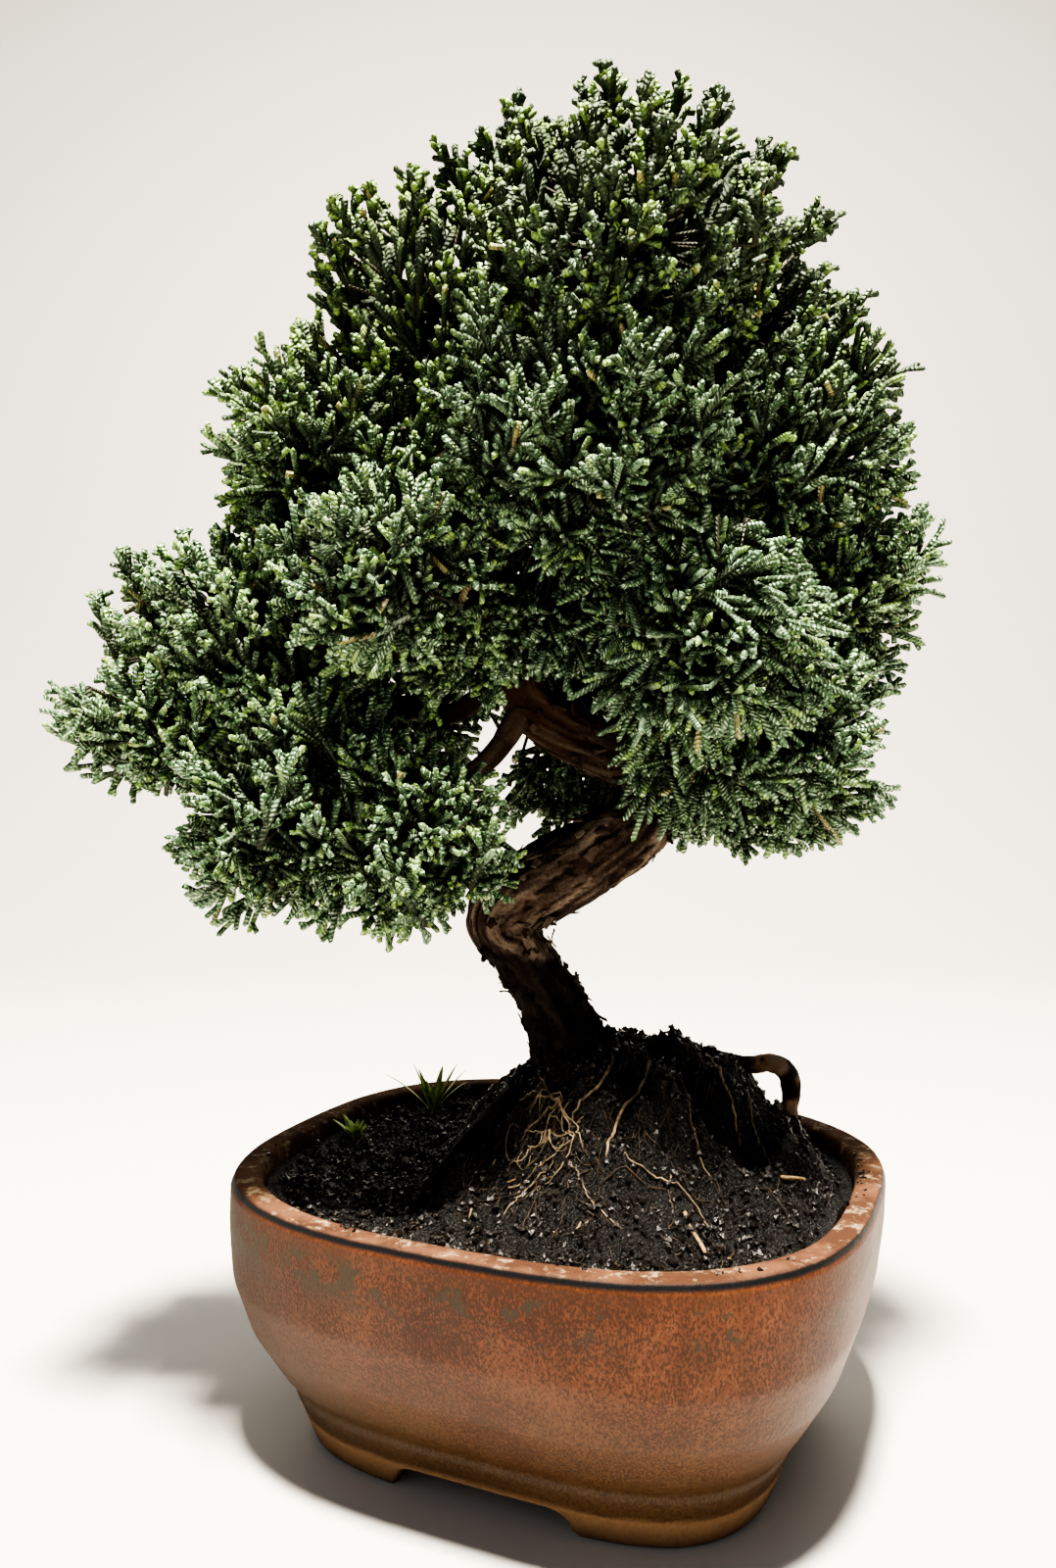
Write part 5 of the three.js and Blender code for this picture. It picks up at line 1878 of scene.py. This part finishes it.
ROOTLETS = (
    Rootlet(((17.5, -6), (14.7, -22), (9, -29.5), (2.7, -31), (1, -35)), 0.63, 1.4),
    Rootlet(((31, -14), (23.8, -29), (16.1, -38.2), (13.4, -43), (12, -47)), 0.67, 1.6),
    Rootlet(((49, -4), (51.5, -16.5), (54.3, -22.8), (55.9, -28.5)), 0.55, 1.2),
    Rootlet(((-7.7, -21.2), (-13.4, -14.8), (-17.3, -15), (-19.2, -21)), 0.41, 1.2),
    Rootlet(((-11, -24.5), (-7.7, -24.2), (-1.8, -27.8), (1.7, -33.8), (0.6, -37.5),
             (-2.7, -37.5)), 0.44, 2.6),
    Rootlet(((-12, -27), (-5, -27), (1, -30), (3.4, -36), (3.6, -41), (5, -45)), 0.41, 2.2),
    Rootlet(((-9.6, -27.5), (-4.4, -31.8), (-0.3, -38.8), (2.3, -43), (-2.9, -47),
             (-13.3, -48)), 0.3, 1.8),
    Rootlet(((-13, -30), (-9, -33), (-4, -32), (-2, -35), (-7, -38), (-12, -36)), 0.3, 1.6),
    Rootlet(((-14, -29), (-10, -28), (-7, -30), (-8, -34), (-3, -36)), 0.26, 2.2),
    Rootlet(((16.2, -48), (25, -51), (32.9, -54.8), (38.8, -58), (42, -63)), 0.3, 1.6),
    Rootlet(((-0.5, -43.5), (4.2, -51.8), (9.6, -58.2), (15.8, -63)), 0.26, 0.8),
    Rootlet(((-18.5, -38), (-7.9, -41.2), (-0.4, -41.5), (8.2, -40)), 0.28, 1.4),
    Rootlet(((-19, -50), (-12, -46), (-6, -44), (-2, -40)), 0.25, 1.0),
    Rootlet(((-56.2, -39.2), (-55, -24), (-53.9, -14.5), (-46, -4)), 0.22, 1.0),
    Rootlet(((33, -16), (39, -28), (40, -38), (44, -48)), 0.31, 0.8),
    Rootlet(((60, -20), (64, -32), (66, -42)), 0.24, 0.8),
    Rootlet(((-30, -10), (-40, -16), (-52, -14), (-62, -18)), 0.31, 0.8),
)


@dataclass(frozen=True)
class Straw:
    """A straw that lies on the soil: the solid that it stands for, its middle, turn and length."""

    node: str
    at: tuple[float, float]
    turn: float
    length: float


@dataclass(frozen=True)
class Weed:
    """A small weed: the solid that it stands for, its foot, its blades and its seed."""

    node: str
    at: tuple[float, float]
    blades: int
    length: float
    seed: int


STRAWS = (
    Straw("straw_front", (36, -66), turn=1.9, length=13),
    Straw("straw_right", (70, -40), turn=0.4, length=9),
)
WEEDS = (
    Weed("weed_back", (-50, 70), blades=15, length=24, seed=5),
    Weed("weed_left", (-76, 34), blades=12, length=11, seed=6),
)


@dataclass(frozen=True)
class SoilLitter:
    """Thin roots, weeds, straw and bits on the soil."""

    soil: Soil
    fibres: int = 230
    fibre_rows: int = 12
    specks: int = 44
    rootlet_rows: int = 30
    curls: int = 15
    curl_rows: int = 14
    curl_middle: tuple[float, float] = (-6.0, -30.0)
    curl_spread: tuple[float, float] = (5.0, 3.6)
    straw_radius: float = 0.62

    @staticmethod
    def smoothed(values: Array, reach: int) -> Array:
        """Mean of each value and its neighbours out to a reach, with the ends repeated."""
        width = 2 * reach + 1
        return np.convolve(np.pad(values, reach, mode="edge"), np.ones(width) / width, mode="valid")

    def lying_paths(self, start: Array, heading: Array, length: Array, random: Generator) -> Array:
        """Wandering paths that follow the soil: heading turns by a random walk at each step.

        Args:
            start: x and y of each path's start.
            heading: starting angle of each.
            length: length of each in millimetres.
            random: seeded source.

        Returns:
            Points shaped (paths, rows, 3) in the front frame, with both ends in the soil.
        """
        turning = np.cumsum(random.normal(0, 0.34, (len(start), self.fibre_rows)), axis=1)
        turning = turning + heading[:, None]
        pace = (length / self.fibre_rows)[:, None]
        x = start[:, :1] + np.cumsum(np.cos(turning) * pace, axis=1)
        y = start[:, 1:] + np.cumsum(np.sin(turning) * pace, axis=1)
        ground = self.soil.surface(x, y)
        smooth = ground.copy()
        smooth[:, 1:-1] = (ground[:, :-2] + ground[:, 1:-1] + ground[:, 2:]) / 3
        smooth[:, [0, -1]] -= 1.5
        return np.stack([x, y, smooth + 0.35], axis=-1)

    def build_rootlets(self, finish: Material) -> None:
        """The tan rootlets on the front of the mound, raised off the soil by a half sine.

        Args:
            finish: their own.
        """
        random = np.random.default_rng(31)
        rows = self.rootlet_rows
        share = np.linspace(0, 1, rows)
        parts = []
        for rootlet in ROOTLETS:
            line = spline(np.array([(*turn, 0.0) for turn in rootlet.turns]), rows)
            line[1:-1, :2] += random.normal(0, 0.22, (rows - 2, 2))
            ground = self.soil.surface(line[:, 0], line[:, 1])
            level = np.maximum(self.smoothed(ground, 3), ground - 0.3)
            line[:, 2] = level + rootlet.rise * np.sin(np.pi * share)
            line[[0, -1], 2] -= 1.2
            knots = 1 + 0.22 * (layered_noise(line, 2.6, 2, 53) - 0.4)
            parts.append(tube(line, rootlet.radius * knots * (1 - 0.45 * share), 7))
        parts.extend(self.tangle(random))
        front_piece("bare_rootlets", parts, finish, "juniper_bark")

    def tangle(self, random: Generator) -> list[Skin]:
        """Thin curly rootlets on the front of the mound: arcs that rise off the soil.

        Args:
            random: seeded source.

        Returns:
            One skin for each.
        """
        parts = []
        rows = self.curl_rows
        share = np.linspace(0, 1, rows)
        for x, y in random.normal(0, 1, (self.curls, 2)) * self.curl_spread + self.curl_middle:
            start = random.uniform(0, 2 * np.pi)
            turn = start + share * random.uniform(1.5, 4.2) * random.choice([-1, 1])
            pace = random.uniform(7, 16) / (rows - 1)
            line = np.zeros((rows, 3))
            line[:, 0] = x + np.cumsum(np.cos(turn)) * pace
            line[:, 1] = y + np.cumsum(np.sin(turn)) * pace
            ground = self.soil.surface(line[:, 0], line[:, 1])
            level = np.maximum(ground, self.smoothed(ground, 2))
            line[:, 2] = level + random.uniform(0.8, 3.0) * np.sin(np.pi * share) + 0.1
            parts.append(tube(line, random.uniform(0.17, 0.3) * (1 - 0.4 * share), 5))
        return parts

    def build_fibres(self, finish: Material) -> None:
        """Hair-thin dark roots over the mound.

        Args:
            finish: their own.
        """
        random = np.random.default_rng(23)
        count = self.fibres
        start = np.stack([random.normal(10, 27, count), random.normal(-24, 20, count)], axis=1)
        heading = np.arctan2(start[:, 1] - 2, start[:, 0] - 12) + random.normal(0, 0.9, count)
        paths = self.lying_paths(start, heading, random.uniform(6, 26, count), random)
        paths = paths[self.soil.pot.holds(front_to_pot(paths), 12.0).all(axis=1)]
        thick = random.uniform(0.14, 0.34, len(paths))
        taper = np.linspace(thick, 0.6 * thick, self.fibre_rows, axis=1)
        parts = [tube(path, width, 3) for path, width in zip(paths, taper)]
        front_piece("root_fibres", parts, finish, "juniper_bark")

    def build_specks(self, finish: Material) -> None:
        """Pale grains and bits of straw scattered on the soil.

        Args:
            finish: the straw.
        """
        random = np.random.default_rng(29)
        parts = []
        for x, y in self.soil.places(self.specks, random):
            length = random.uniform(0.8, 2.6)
            turn = random.uniform(0, np.pi)
            share = np.array([0.0, 0.5, 1.0])
            track = np.array([x, y]) + np.outer(share * length, (math.cos(turn), math.sin(turn)))
            height = self.soil.surface(track[:, 0], track[:, 1]) + 0.4
            parts.append(tube(np.column_stack([track, height]), np.array([0.22, 0.36, 0.2]), 5))
        front_piece("soil_specks", parts, finish, "dry_straw")

    def build_straw(self, straw: Straw, finish: Material) -> None:
        """A straw on the soil, slightly kinked, grooved along its length and worn at its ends.

        Args:
            straw: where it lies.
            finish: its own.
        """
        share = np.linspace(-0.5, 0.5, 11)
        cosine, sine = math.cos(straw.turn), math.sin(straw.turn)
        x = straw.at[0] + share * straw.length * cosine
        y = straw.at[1] + share * straw.length * sine
        kink = 0.3 * np.sin(7 * share)
        path = np.column_stack([x - kink * sine, y + kink * cosine, self.soil.height(x, y) + 1.6])
        angle = np.linspace(0, 2 * np.pi, 10, endpoint=False)[None]
        worn = np.where(np.abs(share) < 0.44, 1, 0.8)[:, None]
        radius = self.straw_radius * (1 + 0.12 * np.cos(5 * angle)) * worn
        front_piece(f"dry_{straw.node}", [tube(path, radius, 10)], finish, "dry_straw", straw.node)

    def build_weed(self, weed: Weed, finish: Material) -> None:
        """A tuft of narrow folded leaves: each a strip that widens, then tapers and arches over.

        Args:
            weed: where it grows.
            finish: its own.
        """
        random = np.random.default_rng(weed.seed)
        foot = np.array([*weed.at, self.soil.height(*np.array(weed.at)[:, None])[0]])
        share = np.linspace(0, 1, 9)
        stem = foot + np.outer(np.linspace(-4, 5.5, 5), [0.08, 0.05, 1])
        parts = [tube(stem, np.linspace(1.0, 0.6, 5), 8)]
        width = 1.3 * np.sin(np.pi * np.clip(share * 0.86 + 0.1, 0, 1)) + 0.08
        outline = np.array([(-1, 0.5), (0, -0.2), (1, 0.5), (0, 0.35)])
        for blade in range(weed.blades):
            angle = GOLDEN_TURN * blade + random.uniform(-0.3, 0.3)
            reach = share * weed.length * random.uniform(0.55, 0.98)
            lean = random.uniform(0.35, 0.9)
            flat = np.array([math.cos(angle), math.sin(angle), 0])
            rise = reach * (1 - 0.35 * lean * share)
            path = foot + np.outer(reach * lean, flat) + np.outer(rise, [0, 0, 1])
            across = outline[None, :, :1] * width[:, None, None] * np.cross(flat, [0, 0, 1])
            fold = outline[None, :, 1:] * (0.35 * width)[:, None, None] * np.array([0, 0, 1.0])
            rings = path[:, None] + across + fold
            parts.append(capped_rings(rings[:, ::-1]))
        front_piece(f"leafy_{weed.node}", parts, finish, "weed_leaf", weed.node)


@dataclass(frozen=True)
class AreaLight:
    """Square light: its name, place in the front frame, side in metres, watts and colour."""

    name: str
    place: tuple[float, float, float]
    size: float
    power: float
    colour: str


LIGHTS = (
    AreaLight("key", (-10, -350, 1800), size=0.2, power=205, colour="#fff6e8"),
    AreaLight("fill", (-900, -900, 700), size=1.2, power=2, colour="#e6eeff"),
    AreaLight("back", (500, 900, 1100), size=0.9, power=4, colour="#ffffff"),
)


@dataclass(frozen=True)
class Studio:
    """Pale floor, soft lights and the camera at the viewer's place.

    eye and aim are places in the front frame. The floor's lengths are metres in the front frame: it
    runs from floor_front to floor_back, curves up with the bend's radius and ends at wall_top.
    """

    eye: tuple[float, float, float] = (-11.5, -388.0, 212.0)
    lens: float = 25.99
    sensor: float = 36.0
    aim: tuple[float, float, float] = (0.0, 0.0, 220.0)
    floor_half: float = 2.2
    floor_front: float = -1.4
    floor_back: float = 0.9
    bend: float = 0.7
    wall_top: float = 2.6
    paper: str = "#cfccc6"
    sky: str = "#e8edf2"
    sky_strength: float = 0.2

    def camera(self) -> None:
        """Level camera that looks straight along the front frame's Y."""
        data = bpy.data.cameras.new("viewer")
        data.lens = self.lens
        data.sensor_width = self.sensor
        data.clip_start, data.clip_end = 0.01, 50.0
        camera = bpy.data.objects.new("viewer", data)
        camera.location = front_to_row(np.array(self.eye))
        camera.rotation_euler = (math.pi / 2, 0, FRONT_TURN)
        bpy.context.scene.collection.objects.link(camera)
        bpy.context.scene.camera = camera

    def floor(self) -> None:
        """Floor that curves up into a backdrop."""
        angle = np.linspace(0, np.pi / 2, 14)
        y = self.floor_back + self.bend * np.sin(angle)
        z = self.bend - self.bend * np.cos(angle)
        y = np.concatenate([[self.floor_front], y, [self.floor_back + self.bend]])
        z = np.concatenate([[0.0], z, [self.wall_top]])
        section = np.stack([y, z], axis=1)[:, None]
        x = np.broadcast_to(np.array([[-self.floor_half], [self.floor_half]]), (len(y), 2, 1))
        grid = np.concatenate([x, np.broadcast_to(section, (len(y), 2, 2))], axis=2).reshape(-1, 3)
        faces = np.arange(len(y) - 1)[:, None] * 2 + np.array([[0, 1, 3, 2]])
        floor = make_piece("studio_floor", front_to_row(grid / METRE), faces)
        material, tree, surface = new_material("pale_paper")
        shader = add_node(
            tree, "ShaderNodeBsdfPrincipled", {"Base Color": self.paper, "Roughness": 0.85})
        tree.links.new(shader.outputs[0], surface)
        floor.data.materials.append(material)

    def light(self, light: AreaLight) -> None:
        """Adds a light that is aimed at the middle of the tree.

        Args:
            light: which one.
        """
        data = bpy.data.lights.new(light.name, "AREA")
        data.size, data.energy = light.size, light.power
        data.color = linear(light.colour)[:3]
        lamp = bpy.data.objects.new(light.name, data)
        lamp.location = front_to_row(np.array(light.place))
        target = Vector(front_to_row(np.array(self.aim)))
        lamp.rotation_euler = (target - lamp.location).to_track_quat("-Z", "Y").to_euler()
        bpy.context.scene.collection.objects.link(lamp)

    def build(self) -> None:
        """Camera, floor, lights and an even pale sky."""
        self.camera()
        self.floor()
        for light in LIGHTS:
            self.light(light)
        world = bpy.data.worlds.new("sky")
        world.use_nodes = True
        sky = world.node_tree.nodes["Background"]
        sky.inputs["Color"].default_value = linear(self.sky)
        sky.inputs["Strength"].default_value = self.sky_strength
        bpy.context.scene.world = world
        bpy.context.scene.view_settings.look = "AgX - High Contrast"


def dress_screens(finish: Material) -> None:
    """Gives the drain screens, whose own shape is right, their plastic.

    Args:
        finish: the netting.
    """
    for name in ("drain_screen_left", "drain_screen_right"):
        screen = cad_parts[name]
        screen.data.materials.clear()
        screen.data.materials.append(finish)


def main() -> None:
    """Builds the studio, then each piece from the pot up to the last shoot."""
    logging.basicConfig(level=logging.INFO, format="%(message)s")
    Studio().build()
    pot = Pot()
    soil = Soil(pot)
    wood = Wood()
    litter = SoilLitter(soil)
    foliage = Foliage(wood)
    straw, leaf = DRY_STRAW.build(), WEED_BLADE.build()
    pot.build(SpeckledGlaze().build())
    soil.build(WET_PEAT.build())
    soil.build_crumbs(PEAT_CRUMB.build())
    wood.build(FlakingBark().build())
    litter.build_rootlets(TAN_ROOTLET.build())
    litter.build_fibres(ROOT_FIBRE.build())
    litter.build_specks(straw)
    for stalk in STRAWS:
        litter.build_straw(stalk, straw)
    for weed in WEEDS:
        litter.build_weed(weed, leaf)
    dress_screens(NETTING.build())
    foliage.build_cores(SHADE_DARK_TWIGS.build())
    green = ScaleFoliage().build()
    for number, pad in enumerate(PADS):
        foliage.build_pad(pad, number, green)


if __name__ == "__main__":
    main()
